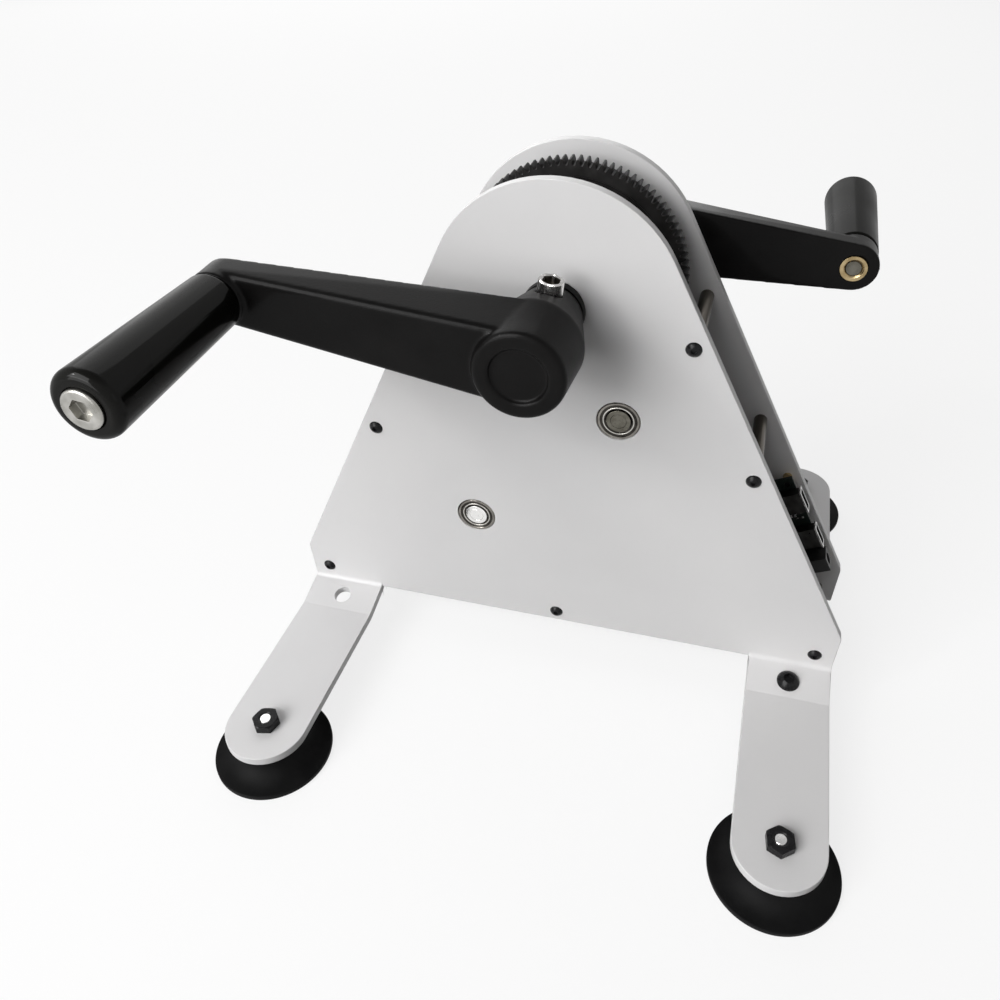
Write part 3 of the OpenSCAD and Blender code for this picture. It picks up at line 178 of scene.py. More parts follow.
# finishes: two colours mixed by a noise, a roughness range and a bump, all on Object coordinates
grainSet = {
    "ramp": (0.32, 0.68), "gloss": (0.3, 0.7), "cloud": 5, "skin": 3, "depth": 0.0004, "coatRough": 0.12,
}
finishSet = {
    "plate_white": {
        "colors": ((0.660, 0.655, 0.658), (0.705, 0.698, 0.698)), "grain": 9, "rough": (0.32, 0.44),
        "peel": 520, "bump": 0.10, "coat": 0.10, "spec": 0.35,
    },
    # post steel kept dark as painted shade: the shade between the plates, not the steel's own colour
    "post_metal": {
        "colors": ((0.066, 0.058, 0.048), (0.115, 0.102, 0.087)), "grain": 60, "rough": (0.28, 0.42),
        "peel": 900, "bump": 0.08, "metal": 1.0, "stretch": (1, 0.06, 1),
    },
    "black_screw": {
        "colors": ((0.0035, 0.0035, 0.0040), (0.0085, 0.0085, 0.0092)), "grain": 300, "rough": (0.20, 0.34),
        "peel": 1200, "bump": 0.12, "spec": 0.18,
    },
    "foot_rubber": {
        "colors": ((0.0040, 0.0040, 0.0042), (0.0080, 0.0080, 0.0082)), "grain": 70, "rough": (0.46, 0.62),
        "peel": 900, "bump": 0.15, "spec": 0.07,
    },
    "bright_steel": {
        "colors": ((0.52, 0.51, 0.50), (0.74, 0.73, 0.72)), "grain": 160, "rough": (0.18, 0.34),
        "peel": 1500, "bump": 0.06, "metal": 1.0,
    },
    # bearing steel darkened as painted reflection: stands for a dark room mirrored in the rings
    "bearing_steel": {
        "colors": ((0.17, 0.16, 0.145), (0.29, 0.275, 0.25)), "grain": 220, "rough": (0.16, 0.30),
        "peel": 1500, "bump": 0.05, "metal": 1.0,
    },
    # painted highlight: a bright copy of the bearing steel for the shields' lips
    "painted_highlight_lip_steel": {
        "colors": ((0.42, 0.41, 0.38), (0.60, 0.58, 0.55)), "grain": 220, "rough": (0.16, 0.28),
        "peel": 1500, "bump": 0.05, "metal": 1.0, "slot": "bearing_steel",
    },
    # painted shade: a dark copy of the bearing steel, for the idler's rings and shaft and the bolts' bare
    # ends
    "painted_shade_steel": {
        "colors": ((0.075, 0.071, 0.056), (0.185, 0.176, 0.150)), "grain": 140, "rough": (0.20, 0.34),
        "peel": 1500, "bump": 0.06, "metal": 1.0, "slot": "bearing_steel",
    },
    # painted highlight: a bright copy of the bearing steel, for the generator's rings and shaft
    "painted_highlight_steel": {
        "colors": ((0.78, 0.775, 0.76), (0.94, 0.935, 0.92)), "grain": 90, "rough": (0.10, 0.20),
        "peel": 1500, "bump": 0.05, "metal": 1.0, "slot": "bearing_steel",
    },
    # painted highlight: a bright copy of the bright steel for the foot studs
    "painted_highlight_stud_steel": {
        "colors": ((0.84, 0.84, 0.83), (0.95, 0.95, 0.94)), "grain": 160, "rough": (0.14, 0.24),
        "peel": 1500, "bump": 0.04, "metal": 1.0, "slot": "bright_steel",
    },
    "bolt_steel": {
        "colors": ((0.30, 0.295, 0.27), (0.52, 0.51, 0.485)), "grain": 130, "rough": (0.24, 0.42),
        "peel": 1500, "bump": 0.10, "metal": 1.0, "slot": "bright_steel",
    },
    # painted shade: a dark copy of the bright steel inside the clamp screws' hex sockets
    "painted_shade_socket": {
        "colors": ((0.050, 0.044, 0.037), (0.130, 0.116, 0.100)), "grain": 260, "rough": (0.35, 0.50),
        "peel": 1500, "bump": 0.08, "metal": 1.0, "slot": "bright_steel",
    },
    # painted shade: a dark copy of the bearing steel for the shields
    "painted_shade_shield_steel": {
        "colors": ((0.028, 0.026, 0.023), (0.060, 0.056, 0.050)), "grain": 220, "rough": (0.24, 0.40),
        "peel": 1500, "bump": 0.05, "metal": 1.0, "slot": "bearing_steel",
    },
    "crank_black": {
        "colors": ((0.0028, 0.0026, 0.0026), (0.0056, 0.0053, 0.0052)), "grain": 35, "rough": (0.30, 0.44),
        "peel": 1400, "bump": 0.16, "spec": 0.065, "coat": 0.06, "coatRough": 0.10,
    },
    "grip_black": {
        "colors": ((0.0045, 0.0044, 0.0038), (0.0070, 0.0068, 0.0060)), "grain": 30, "rough": (0.22, 0.32),
        "peel": 60, "bump": 0.03, "spec": 0.02, "coat": 0.20, "coatRough": 0.06,
    },
    # painted shade: a darker, less glossy copy of the grip finish, for the rear grip
    "painted_shade_grip": {
        "colors": ((0.0036, 0.0035, 0.0031), (0.0060, 0.0058, 0.0052)), "grain": 30, "rough": (0.26, 0.38),
        "peel": 60, "bump": 0.03, "spec": 0.02, "coat": 0.05, "coatRough": 0.10, "slot": "grip_black",
    },
    "gear_black": {
        "colors": ((0.011, 0.0105, 0.0103), (0.024, 0.023, 0.0225)), "grain": 120, "rough": (0.30, 0.48),
        "peel": 1100, "bump": 0.10, "spec": 0.15,
    },
    "belt_rubber": {
        "colors": ((0.010, 0.010, 0.010), (0.018, 0.018, 0.018)), "grain": 150, "rough": (0.60, 0.75),
        "peel": 1300, "bump": 0.15, "spec": 0.2,
    },
    "insert_brass": {
        "colors": ((0.30, 0.22, 0.11), (0.50, 0.39, 0.22)), "grain": 200, "rough": (0.20, 0.34),
        "peel": 1400, "bump": 0.06, "metal": 1.0,
    },
    "pulley_aluminium": {
        "colors": ((0.42, 0.43, 0.44), (0.56, 0.57, 0.58)), "grain": 140, "rough": (0.28, 0.42),
        "peel": 1300, "bump": 0.06, "metal": 1.0,
    },
    "pinion_steel": {
        "colors": ((0.28, 0.28, 0.28), (0.42, 0.42, 0.42)), "grain": 180, "rough": (0.28, 0.42),
        "peel": 1300, "bump": 0.06, "metal": 1.0,
    },
    "generator_grey": {
        "colors": ((0.030, 0.031, 0.034), (0.048, 0.050, 0.054)), "grain": 80, "rough": (0.40, 0.52),
        "peel": 800, "bump": 0.10, "spec": 0.3,
    },
    "magnet_grey": {
        "colors": ((0.05, 0.05, 0.055), (0.08, 0.08, 0.085)), "grain": 200, "rough": (0.55, 0.70),
        "peel": 900, "bump": 0.15, "spec": 0.3,
    },
    "brush_carbon": {
        "colors": ((0.018, 0.018, 0.018), (0.030, 0.030, 0.030)), "grain": 300, "rough": (0.55, 0.70),
        "peel": 1300, "bump": 0.12, "spec": 0.3,
    },
    "copper": {
        "colors": ((0.46, 0.20, 0.10), (0.62, 0.31, 0.17)), "grain": 200, "rough": (0.28, 0.42),
        "peel": 1300, "bump": 0.10, "metal": 1.0,
    },
    "core_steel": {
        "colors": ((0.24, 0.24, 0.25), (0.36, 0.36, 0.37)), "grain": 200, "rough": (0.40, 0.55),
        "peel": 1300, "bump": 0.10, "metal": 1.0, "stretch": (1, 12, 1),
    },
    "board_green": {
        "colors": ((0.004, 0.008, 0.006), (0.007, 0.013, 0.010)), "grain": 120, "rough": (0.30, 0.42),
        "peel": 900, "bump": 0.05, "spec": 0.3,
    },
    # painted shade: socket shells kept dark for the shade between the plates
    "socket_metal": {
        "colors": ((0.055, 0.054, 0.052), (0.095, 0.093, 0.090)), "grain": 200, "rough": (0.26, 0.40),
        "peel": 1400, "bump": 0.05, "metal": 1.0,
    },
    # bright steel: a painted highlight on the socket lips, and the real colour of the board's solder pads
    "lip_highlight_and_solder": {
        "colors": ((0.50, 0.50, 0.49), (0.66, 0.66, 0.65)), "grain": 300, "rough": (0.22, 0.34),
        "peel": 1400, "bump": 0.05, "metal": 1.0, "slot": "socket_metal",
    },
    "socket_black": {
        "colors": ((0.008, 0.008, 0.008), (0.014, 0.014, 0.014)), "grain": 200, "rough": (0.40, 0.55),
        "peel": 1300, "bump": 0.10, "spec": 0.3,
    },
    "capacitor_dark": {
        "colors": ((0.010, 0.012, 0.019), (0.017, 0.019, 0.030)), "grain": 150, "rough": (0.26, 0.38),
        "peel": 900, "bump": 0.05, "spec": 0.4,
    },
}


def makeFinish(name, look):
    paint = bpy.data.materials.new(name)
    paint.use_nodes = True
    tree = paint.node_tree
    shader = tree.nodes["Principled BSDF"]
    shader.inputs["Metallic"].default_value = look.get("metal", 0.0)
    shader.inputs["Coat Weight"].default_value = look.get("coat", 0.0)
    shader.inputs["Coat Roughness"].default_value = look.get("coatRough", grainSet["coatRough"])
    shader.inputs["Specular IOR Level"].default_value = look.get("spec", 0.5)
    place = tree.nodes.new("ShaderNodeTexCoord")
    scale = tree.nodes.new("ShaderNodeMapping")
    scale.inputs["Scale"].default_value = look.get("stretch", (1, 1, 1))
    tree.links.new(place.outputs["Object"], scale.inputs["Vector"])
    cloud = tree.nodes.new("ShaderNodeTexNoise")
    cloud.inputs["Scale"].default_value = look["grain"]
    cloud.inputs["Detail"].default_value = grainSet["cloud"]
    tree.links.new(scale.outputs["Vector"], cloud.inputs["Vector"])
    ramp = tree.nodes.new("ShaderNodeValToRGB")
    for stop, at, color in zip(ramp.color_ramp.elements, grainSet["ramp"], look["colors"]):
        stop.position = at
        stop.color = (*color, 1)
    tree.links.new(cloud.outputs["Fac"], ramp.inputs["Fac"])
    tree.links.new(ramp.outputs["Color"], shader.inputs["Base Color"])
    gloss = mapRange(tree, cloud.outputs["Fac"], grainSet["gloss"], look["rough"])
    tree.links.new(gloss, shader.inputs["Roughness"])
    skin = tree.nodes.new("ShaderNodeTexNoise")
    skin.inputs["Scale"].default_value = look["peel"]
    skin.inputs["Detail"].default_value = grainSet["skin"]
    tree.links.new(scale.outputs["Vector"], skin.inputs["Vector"])
    bump = tree.nodes.new("ShaderNodeBump")
    bump.inputs["Strength"].default_value = look["bump"]
    bump.inputs["Distance"].default_value = grainSet["depth"]
    tree.links.new(skin.outputs["Fac"], bump.inputs["Height"])
    tree.links.new(bump.outputs["Normal"], shader.inputs["Normal"])
    return paint


finishes = {name: makeFinish(name, look) for name, look in finishSet.items()}
slotOf = {row["node"]: row["material_slot"] for row in frame["record"]["subparts"]}
for name, item in frame["nodes"].items():
    item.data.materials.clear()
    item.data.materials.append(finishes[slotOf[name]])
print("finishes on", len(frame["nodes"]), "pieces")


# helpers for modelling by hand: merge distance in metres, angle between faces taken as one flat,
# and angle and weight for the shading
meshSet = {"merge": 0.000002, "flat": 0.4, "shade": 32, "weight": 90}


def pickOnly(piece):
    bpy.ops.object.select_all(action="DESELECT")
    bpy.context.view_layer.objects.active = piece
    piece.select_set(True)


def editAll(piece):
    pickOnly(piece)
    bpy.ops.object.mode_set(mode="EDIT")
    bpy.ops.mesh.select_all(action="SELECT")


def closeMesh(piece):
    editAll(piece)
    bpy.ops.mesh.remove_doubles(threshold=meshSet["merge"])
    bpy.ops.mesh.normals_make_consistent(inside=False)
    bpy.ops.object.mode_set(mode="OBJECT")


def fillRims(piece):
    # a face over each open ring of edges
    editAll(piece)
    bpy.ops.mesh.select_all(action="DESELECT")
    bpy.ops.mesh.select_non_manifold()
    bpy.ops.mesh.edge_face_add()
    bpy.ops.object.mode_set(mode="OBJECT")


def addModifier(piece, kind, **values):
    pickOnly(piece)
    bpy.ops.object.modifier_add(type=kind)
    tool = piece.modifiers[-1]
    for key, value in values.items():
        setattr(tool, key, value)
    bpy.ops.object.modifier_apply(modifier=tool.name)


def smooth(piece, degrees=meshSet["shade"]):
    pickOnly(piece)
    bpy.ops.object.shade_smooth_by_angle(angle=math.radians(degrees))
    addModifier(piece, "WEIGHTED_NORMAL", mode="FACE_AREA", weight=meshSet["weight"], keep_sharp=True)


def dress(piece, look, body, *nodes):
    piece.data.materials.clear()
    piece.data.materials.append(finishes[look])
    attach(piece, body)
    if nodes:
        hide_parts(*nodes)


def copyNode(node, name):
    # a merged copy of a solid, with its flat faces in one piece
    piece = bpy.data.objects.new(name, frame["nodes"][node].data.copy())
    scene.collection.objects.link(piece)
    editAll(piece)
    bpy.ops.mesh.remove_doubles(threshold=meshSet["merge"])
    bpy.ops.mesh.dissolve_limited(angle_limit=math.radians(meshSet["flat"]))
    bpy.ops.object.mode_set(mode="OBJECT")
    return piece


def turnPiece(name, rows, sides):
    # turned about its own Z: a ring of edges, drawn out row by row as (radius, height) in mm
    bpy.ops.object.select_all(action="DESELECT")
    radius, height = rows[0][0] / 1000, rows[0][1] / 1000
    bpy.ops.mesh.primitive_circle_add(
        vertices=sides, radius=radius, fill_type="NOTHING", location=(0, 0, height),
    )
    piece = bpy.context.object
    piece.name = name
    bpy.ops.object.transform_apply(location=True, rotation=True, scale=True)
    bpy.ops.object.mode_set(mode="EDIT")
    bpy.ops.mesh.select_all(action="SELECT")
    for row in rows[1:]:
        rise = row[1] / 1000 - height
        ratio = row[0] / 1000 / radius
        bpy.ops.mesh.extrude_region_move(TRANSFORM_OT_translate={"value": (0, 0, rise)})
        radius, height = row[0] / 1000, row[1] / 1000
        bpy.ops.transform.resize(value=(ratio, ratio, 1), center_override=(0, 0, height))
    if rows[-1] != rows[0]:
        bpy.ops.mesh.edge_face_add()  # closes the last row
    bpy.ops.object.mode_set(mode="OBJECT")
    closeMesh(piece)
    return piece


def joinAll(items, name):
    bpy.ops.object.select_all(action="DESELECT")
    for item in items:
        item.select_set(True)
    bpy.context.view_layer.objects.active = items[0]
    if len(items) > 1:
        bpy.ops.object.join()
    items[0].name = name
    return items[0]


def copiesOf(model, name, places):
    items = []
    for place in places:
        item = bpy.data.objects.new(name, model.data.copy())
        scene.collection.objects.link(item)
        item.data.transform(place)
        items.append(item)
    bpy.data.objects.remove(model)
    return joinAll(items, name)


def shift(x, y, z):
    return Matrix.Translation((x / 1000, y / 1000, z / 1000))


def spinAbout(degrees, axis):
    return Matrix.Rotation(math.radians(degrees), 4, axis)


# solids that keep their shape and get broken edges: bevel in mm, steps (2 if not given), sharp angle,
# body (the frame if not given) and node; rims under least mm stay sharp, and sawn is the bare end along y
edgeSet = {
    "frontPlate": {"node": "front_plate", "bevel": 0.45, "sharp": 35, "least": 9},
    "rearPlate": {"node": "rear_plate", "bevel": 0.45, "sharp": 35, "least": 9},
    "spacerPosts": {"node": "spacer_posts", "bevel": 0.30, "sharp": 50},
    "frontPostScrews": {"node": "front_post_screws", "bevel": 0.12, "sharp": 38},
    "rearPostScrews": {"node": "rear_post_screws", "bevel": 0.12, "sharp": 38},
    "legScrew": {"node": "leg_screw", "bevel": 0.25, "sharp": 38},
    "frontLeftFoot": {"node": "front_left_foot", "bevel": 0.60, "steps": 3, "sharp": 40},
    "frontRightFoot": {"node": "front_right_foot", "bevel": 0.60, "steps": 3, "sharp": 40},
    "rearLeftFoot": {"node": "rear_left_foot", "bevel": 0.60, "steps": 3, "sharp": 40},
    "rearRightFoot": {"node": "rear_right_foot", "bevel": 0.60, "steps": 3, "sharp": 40},
    "generatorCase": {"node": "generator_case", "bevel": 0.50, "sharp": 50},
    "driveGear": {"node": "drive_gear", "bevel": 0.16, "steps": 1, "sharp": 38, "body": "crank"},
    "hubRings": {"node": "hub_rings", "bevel": 0.30, "sharp": 50, "body": "crank"},
    "frontGripBolt": {
        "node": "front_grip_bolt", "bevel": 0.25, "sharp": 38, "body": "crank", "look": "bolt_steel",
        "sawn": 1,
    },
    "rearGripBolt": {
        "node": "rear_grip_bolt", "bevel": 0.25, "sharp": 38, "body": "crank", "look": "bolt_steel",
        "sawn": -1,
    },
    "gripInserts": {"node": "grip_inserts", "bevel": 0.25, "sharp": 38, "body": "crank"},
    "frontGrip": {"node": "front_grip", "bevel": 0.50, "steps": 3, "sharp": 40, "body": "front_grip"},
    # the rear grip takes the painted-shade copy of the grip finish
    "rearGrip": {
        "node": "rear_grip", "bevel": 0.50, "steps": 3, "sharp": 40, "body": "rear_grip", "look": "painted_shade_grip",
    },
}


def markEdges(piece, sharp, least):
    # weight on the sharp edges, apart from rims of holes smaller than least, which screw heads cover
    mesh = piece.data
    sides = {}
    for face in mesh.polygons:
        for key in face.edge_keys:
            sides.setdefault(key, []).append(face.normal)
    group = {}
    marked = []
    for edge in mesh.edges:
        pair = sides.get(edge.key, [])
        if len(pair) == 2 and pair[0].angle(pair[1], 0) > math.radians(sharp):
            marked.append(edge)
            for end in edge.vertices:
                group.setdefault(end, end)
    moved = True
    while moved:  # the lowest number spreads along each loop
        moved = False
        for edge in marked:
            low = min(group[edge.vertices[0]], group[edge.vertices[1]])
            for end in edge.vertices:
                if group[end] != low:
                    group[end] = low
                    moved = True
    loops = {}
    for end, root in group.items():
        loops.setdefault(root, []).append(mesh.vertices[end].co)
    large = {}
    for root, points in loops.items():
        spans = [max(p[k] for p in points) - min(p[k] for p in points) for k in range(3)]
        large[root] = max(spans) > least / 1000
    weights = mesh.attributes.new("bevel_weight_edge", "FLOAT", "EDGE")
    for edge in marked:
        weights.data[edge.index].value = 1.0 if large[group[edge.vertices[0]]] else 0.0


sawnDeep = 0.0006  # metres in from the end that count as sawn
for name, look in edgeSet.items():
    piece = copyNode(look["node"], name)
    markEdges(piece, look["sharp"], look.get("least", 0))
    addModifier(
        piece, "BEVEL", width=look["bevel"] / 1000, segments=look.get("steps", 2), limit_method="WEIGHT",
        use_clamp_overlap=False, miter_outer="MITER_ARC",
    )
    smooth(piece)
    dress(piece, look.get("look", slotOf[look["node"]]), look.get("body", "frame"), look["node"])
    if "sawn" in look:  # the bolt's bare end, in a darker steel: painted shade inside its insert
        piece.data.materials.append(finishes["painted_shade_steel"])
        end = max(look["sawn"] * point.co.y for point in piece.data.vertices)
        for face in piece.data.polygons:
            if look["sawn"] * face.center.y > end - sawnDeep:
                face.material_index = 1
print("edges broken on", len(edgeSet), "pieces")


# crank arms: cast, so every corner is rounded
armSet = {
    "nodes": {"frontArm": "front_crank_arm", "rearArm": "rear_crank_arm"},
    "grid": 0.65, "passes": 9, "factor": 0.5, "sharp": 60,
}
for name, node in armSet["nodes"].items():
    piece = copyNode(node, name)
    addModifier(piece, "REMESH", mode="VOXEL", voxel_size=armSet["grid"] / 1000)
    addModifier(piece, "SMOOTH", factor=armSet["factor"], iterations=armSet["passes"])
    smooth(piece, armSet["sharp"])
    dress(piece, "crank_black", "crank", node)
print("arms cast")


# the crank's clamp screws: straight knurl, chamfers and a hex socket
clampSet = {
    "crankHeight": 234, "tilts": (8.2, 6), "out": 47, "tip": 6.05, "stem": 3.45, "seat": 15.1,
    "top": 23.3, "head": 5.75, "chamfer": 0.6, "ridges": 40, "groove": 0.93, "point": (0.4, 1),
    "socket": 4.1, "socketFloor": 19.0, "mouth": (1.12, 0.5), "hex": 0.92, "slack": 0.05, "rim": 0.2,
    "sharp": 25,
}


def clampScrew(look):
    edge = look["head"] - look["chamfer"]
    rows = [
        (look["stem"] * look["point"][0], look["tip"]), (look["stem"], look["tip"] + look["point"][1]),
        (look["stem"], look["seat"]), (edge, look["seat"]), (look["head"], look["seat"] + look["chamfer"]),
        (look["head"], look["top"] - look["chamfer"]), (edge, look["top"]),
        (look["socket"] * look["mouth"][0], look["top"]), (look["socket"], look["top"] - look["mouth"][1]),
        (look["socket"], look["socketFloor"]),
    ]
    piece = turnPiece("clampScrew", rows, 2 * look["ridges"])
    for point in piece.data.vertices:
        x, y, z = (1000 * value for value in point.co)
        radius, angle = math.hypot(x, y), math.atan2(y, x)
        if radius > look["head"] - look["slack"] and round(angle / math.pi * look["ridges"]) % 2:
            point.co.x *= look["groove"]
            point.co.y *= look["groove"]
        if radius < look["socket"] + look["slack"] and z > look["seat"]:  # round hole to a hexagon
            turn = (angle + math.pi / 6) % (math.pi / 3) - math.pi / 6
            flat = look["hex"] / math.cos(turn)
            point.co.x *= flat
            point.co.y *= flat
    fillRims(piece)
    closeMesh(piece)
    return piece


screwPlaces = []
for tilt, turn in zip(clampSet["tilts"], (0, 180)):
    arm = shift(0, 0, clampSet["crankHeight"]) @ spinAbout(tilt, "Y")
    arm = arm @ spinAbout(turn, "Z") @ spinAbout(90, "X")
    screwPlaces.append(arm @ shift(0, 0, clampSet["out"]) @ spinAbout(-90, "X"))
piece = copiesOf(clampScrew(clampSet), "clampScrews", screwPlaces)
smooth(piece, clampSet["sharp"])
dress(piece, "bright_steel", "crank", "clamp_screws")
# the socket's faces take a dark copy of the steel: painted shade in the recess
piece.data.materials.append(finishes["painted_shade_socket"])
for face in piece.data.polygons:
    for place in screwPlaces:
        x, y, z = 1000 * (place.inverted() @ face.center)
        if math.hypot(x, y) < clampSet["socket"] and clampSet["seat"] < z < clampSet["top"] - clampSet["rim"]:
            face.material_index = 1
print("clamp screws turned")


# small bearings, flush in the plates: rows are (radius, height out of the plate's face) in mm
bearingSet = {
    "face": 30, "idler": (31.9974, 176.2751), "generator": (-46, 100), "sides": 72,
    "shaftSides": 48, "shaftLong": 60, "lipSharp": 50,
    "outer": [
        (8.55, -0.95), (9.34, -0.95), (9.34, -0.30), (9.50, -0.12), (10.30, -0.05), (10.95, -0.85),
        (10.95, -6.6), (10.55, -7.0), (9.56, -7.0), (9.34, -6.8), (9.34, -6.05), (8.55, -6.05), (8.55, -0.95),
    ],
    "dish": [
        (6.60, -1.30), (6.60, -1.00), (7.02, -0.80), (8.80, -0.75), (9.06, -0.50), (9.30, -0.50),
        (9.30, -1.30), (6.60, -1.30),
    ],
    "lip": [
        (7.20, -0.82), (7.30, -0.30), (7.42, -0.20), (7.80, -0.20), (7.96, -0.30), (8.06, -0.82),
        (7.20, -0.82),
    ],
    "inner": [
        (4.03, -6.7), (4.03, -0.14), (4.14, -0.04), (5.80, -0.04), (6.05, -0.16), (6.15, -0.50),
        (6.15, -6.4), (5.80, -7.0), (4.40, -7.0), (4.03, -6.7),
    ],
    "shaft": [
        (0.25, 0.20), (3.00, 0.05), (3.80, 0.05), (4.0, 0.25), (4.0, 59.75), (3.80, 59.95),
        (3.00, 59.95), (0.25, 59.80),
    ],
}


def facePlaces(at):
    front = shift(at[0], -bearingSet["face"], at[1]) @ spinAbout(90, "X")
    rear = shift(at[0], bearingSet["face"], at[1]) @ spinAbout(-90, "X")
    return [front, rear]


bothShafts = facePlaces(bearingSet["idler"]) + facePlaces(bearingSet["generator"])
piece = copiesOf(turnPiece("outerRing", bearingSet["outer"], bearingSet["sides"]), "outerRings", bothShafts)
smooth(piece)
dress(piece, "bearing_steel", "frame", "small_bearing_outer_rings")
# the shields take a dark copy of the bearing steel as painted shade, their lips a bright copy as painted
# highlight
piece = copiesOf(turnPiece("shield", bearingSet["dish"], bearingSet["sides"]), "bearingShields", bothShafts)
smooth(piece)
dress(piece, "painted_shade_shield_steel", "frame", "small_bearing_shields")
piece = copiesOf(turnPiece("shieldLip", bearingSet["lip"], bearingSet["sides"]), "shieldLips", bothShafts)
smooth(piece, bearingSet["lipSharp"])
dress(piece, "painted_highlight_lip_steel", "frame")
# the idler's rings and shaft take the dark painted-shade steel, the generator's the bright painted-highlight
# steel
for at, body, node, shaftNode, shaftLook in (
    ("idler", "idler", "idler_bearing_inner_rings", "idler_shaft", "painted_shade_steel"),
    ("generator", "rotor", "generator_bearing_inner_rings", "generator_shaft", "painted_highlight_steel"),
):
    places = facePlaces(bearingSet[at])
    ring = turnPiece("innerRing", bearingSet["inner"], bearingSet["sides"])
    piece = copiesOf(ring, at + "InnerRings", places)
    smooth(piece)
    dress(piece, shaftLook, body, node)
    piece = turnPiece("shaft", bearingSet["shaft"], bearingSet["shaftSides"])
    fillRims(piece)
    piece.data.transform(shift(0, 0, -bearingSet["shaftLong"]))
    piece = copiesOf(piece, at + "Shaft", [places[0]])
    closeMesh(piece)
    smooth(piece)
    dress(piece, shaftLook, body, shaftNode)
print("bearings turned")


# foot nuts and studs, in mm, with the turn of each nut
footSet = {
    "across": 135.5, "reach": 138.5, "turns": {(-1, -1): -17, (1, -1): 8, (-1, 1): 25, (1, 1): -6},
}
nutSet = {
    "foot": 22.8, "top": 27.8, "flat": 6.5, "corner": 0.35, "cornerAngle": 50, "cone": (1.35, 1.9),
    "crown": 0.12, "bore": 3.0, "slack": 0.12, "mouth": (0.75, 0.65), "flare": 0.9, "core": 0.5, "over": 1,
    "below": 0.2, "sides": (64, 48), "sharp": 30,
}
studSet = {
    "foot": 7.0, "top": 27.6, "radius": 3.0, "point": 0.8, "pitch": 1.0, "ridge": 0.25, "root": 0.62,
    "groove": 0.45, "plain": 1.9, "chamfer": (0.3, 0.35), "crown": (0.6, 0.06), "sides": 40,
}


def hexNut(look):
    wide = look["flat"] / math.cos(math.pi / 6)
    low, high, bore = look["foot"], look["top"], look["bore"]
    bpy.ops.object.select_all(action="DESELECT")
    bpy.ops.mesh.primitive_cylinder_add(
        vertices=6, radius=wide / 1000, depth=(high - low) / 1000, location=(0, 0, (high + low) / 2000),
    )
    nut = bpy.context.object
    bpy.ops.object.transform_apply(location=True, rotation=True, scale=True)
    rows = [
        (look["core"], low - look["over"]), (wide + 2 * look["over"], low - look["over"]),
        (wide + 2 * look["over"], high - look["cone"][1]), (wide - look["cone"][0], high + look["crown"]),
        (look["core"], high + look["crown"]), (look["core"], low - look["over"]),
    ]
    cone = turnPiece("nutCone", rows, look["sides"][0])
    addModifier(
        nut, "BEVEL", width=look["corner"] / 1000, segments=2, limit_method="ANGLE",
        angle_limit=math.radians(look["cornerAngle"]),
    )
    addModifier(nut, "BOOLEAN", operation="INTERSECT", object=cone, solver="EXACT")
    bpy.data.objects.remove(cone)
    rows = [
        (bore + look["flare"], high + look["over"]), (bore + look["mouth"][0], high),
        (bore + look["slack"], high - look["mouth"][1]), (bore + look["slack"], low + look["mouth"][1]),
        (bore + look["flare"], low - look["below"]),
    ]
    hole = turnPiece("nutBore", rows, look["sides"][1])
    fillRims(hole)
    closeMesh(hole)
    addModifier(nut, "BOOLEAN", operation="DIFFERENCE", object=hole, solver="EXACT")
    bpy.data.objects.remove(hole)
    return nut


footPlaces = []
for (sx, sy), turn in footSet["turns"].items():
    footPlaces.append(shift(sx * footSet["across"], sy * footSet["reach"], 0) @ spinAbout(turn, "Z"))
piece = copiesOf(hexNut(nutSet), "footNuts", footPlaces)
smooth(piece, nutSet["sharp"])
dress(piece, "black_screw", "frame", "foot_nuts")

wide, top = studSet["radius"], studSet["top"]
height = studSet["foot"] + studSet["point"]
rows = [(wide - studSet["point"], studSet["foot"]), (wide, height)]
while height < top - studSet["plain"]:  # thread ridges
    rows += [(wide, height + studSet["ridge"]), (wide - studSet["groove"], height + studSet["root"])]
    height += studSet["pitch"]
    rows.append((wide, height))
rows += [(wide, top - studSet["chamfer"][1]), (wide - studSet["chamfer"][0], top)]
rows.append((studSet["crown"][0], top + studSet["crown"][1]))
piece = turnPiece("footStud", rows, studSet["sides"])
fillRims(piece)
closeMesh(piece)
piece = copiesOf(piece, "footStuds", footPlaces)
smooth(piece)
# the studs take a bright copy of the steel as painted highlight
dress(piece, "painted_highlight_stud_steel", "frame", "foot_studs")
print("feet bolted")


# charging board: lips on the sockets, made bright as painted highlight, and the small parts on the board
boardSet = {
    "edgeTop": (53.5189, 261.1243), "lean": 26.876, "start": 155.0, "face": 17.4,
    "sockets": (14, 40), "mouth": 0.5, "wide": 13.2, "high": 5.8, "lip": 0.55, "wall": 0.38, "back": 0.7,
    "proud": 0.25, "bevel": 0.12, "through": 3, "holeBevel": 0.05, "chipBevel": 0.15, "sharp": 30,
}
boardFrame = (
    shift(boardSet["edgeTop"][0], 0, boardSet["edgeTop"][1]) @ spinAbout(-boardSet["lean"], "Y")
    @ shift(0, 0, -boardSet["start"])
)


def block(name, low, high, bevel):
    # box between two corners in mm, with its edges broken
    bpy.ops.object.select_all(action="DESELECT")
    middle = [(a + b) / 2000 for a, b in zip(low, high)]
    bpy.ops.mesh.primitive_cube_add(size=1, location=middle)
    piece = bpy.context.object
    piece.name = name
    piece.scale = [(b - a) / 1000 for a, b in zip(low, high)]
    bpy.ops.object.transform_apply(location=True, rotation=True, scale=True)
    addModifier(piece, "BEVEL", width=bevel / 1000, segments=2, limit_method="NONE")
    return piece


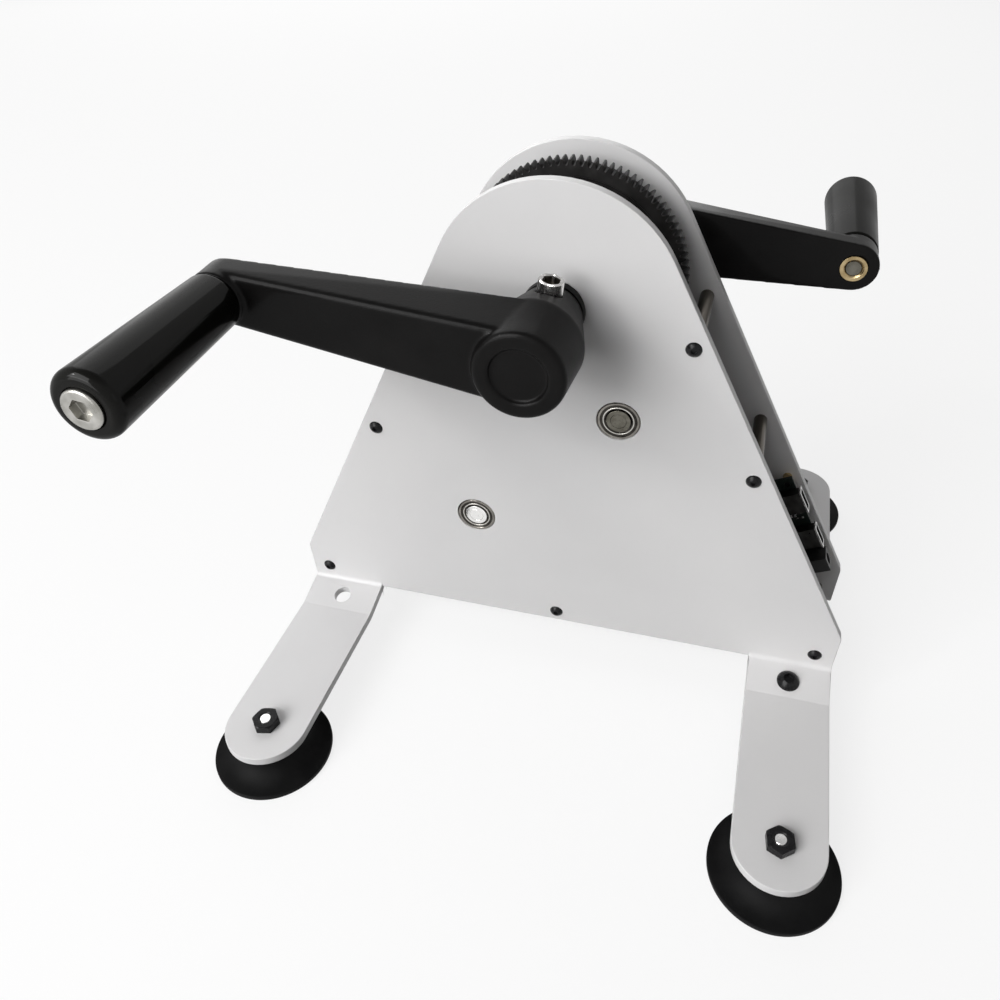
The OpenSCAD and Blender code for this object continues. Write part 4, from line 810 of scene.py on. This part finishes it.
def socketLip(look):
    # a thin frame round the mouth: a plate with its middle taken out
    half, deep = look["wide"] / 2, look["high"] / 2
    piece = block(
        "socketLip", (-look["mouth"] - look["back"], -deep - look["lip"], -half - look["lip"]),
        (-look["mouth"] + look["proud"], deep + look["lip"], half + look["lip"]), look["bevel"],
    )
    inside = (look["through"], deep - look["wall"], half - look["wall"])
    hole = block("socketHole", [-value for value in inside], inside, look["holeBevel"])
    addModifier(piece, "BOOLEAN", operation="DIFFERENCE", object=hole, solver="EXACT")
    bpy.data.objects.remove(hole)
    return piece


middle = boardSet["face"] - boardSet["high"] / 2
places = [boardFrame @ shift(0, middle, -at) for at in boardSet["sockets"]]
piece = copiesOf(socketLip(boardSet), "socketLips", places)
smooth(piece, boardSet["sharp"])
dress(piece, "lip_highlight_and_solder", "frame")

# chips, in mm: corner nearest the edge and furthest up, size along x and along the edge, height off the board
chipSet = [
    (-21.0, -6.0, 5.0, 6.2, 1.7), (-20.5, -30.0, 4.2, 4.2, 1.2), (-6.5, -24.0, 2.0, 1.2, 0.7),
    (-6.5, -27.5, 2.0, 1.2, 0.7), (-10.0, -25.0, 1.2, 2.0, 0.7), (-19.5, -22.5, 2.0, 1.2, 0.8),
    (-19.5, -26.0, 2.0, 1.2, 0.8), (-12.5, -48.0, 2.0, 1.2, 0.7), (-6.0, -49.0, 3.0, 1.6, 1.0),
]
padSet = {
    "reach": 0.9, "under": 0.2, "high": 0.35, "sunk": 0.02, "row": 4, "rowFrom": 4, "pin": 0.25,
    "share": 0.45, "bevel": 0.08,
}
chips, pads = [], []
y = boardSet["face"]
for x, z, wide, long, high in chipSet:
    chips.append(block("chip", (x - wide, y - high, z - long), (x, y, z), boardSet["chipBevel"]))
    count = padSet["row"] if long > padSet["rowFrom"] else 1  # pads on each side
    half = padSet["pin"] if count > 1 else long * padSet["share"]
    left = (x - wide + padSet["under"], x - wide - padSet["reach"])
    right = (x - padSet["under"], x + padSet["reach"])
    for near, far in (left, right):
        for step in range(count):
            at = z - long * (step + 0.5) / count
            low = (min(near, far), y - padSet["high"], at - half)
            pads.append(block("pad", low, (max(near, far), y + padSet["sunk"], at + half), padSet["bevel"]))
# the pads share the lips' bright steel: real solder on the pads, a painted highlight on the lips
for items, name, look in ((chips, "boardChips", "socket_black"), (pads, "boardPads", "lip_highlight_and_solder")):
    piece = joinAll(items, name)
    piece.data.transform(boardFrame)
    smooth(piece, boardSet["sharp"])
    dress(piece, look, "frame")
print("board fitted")
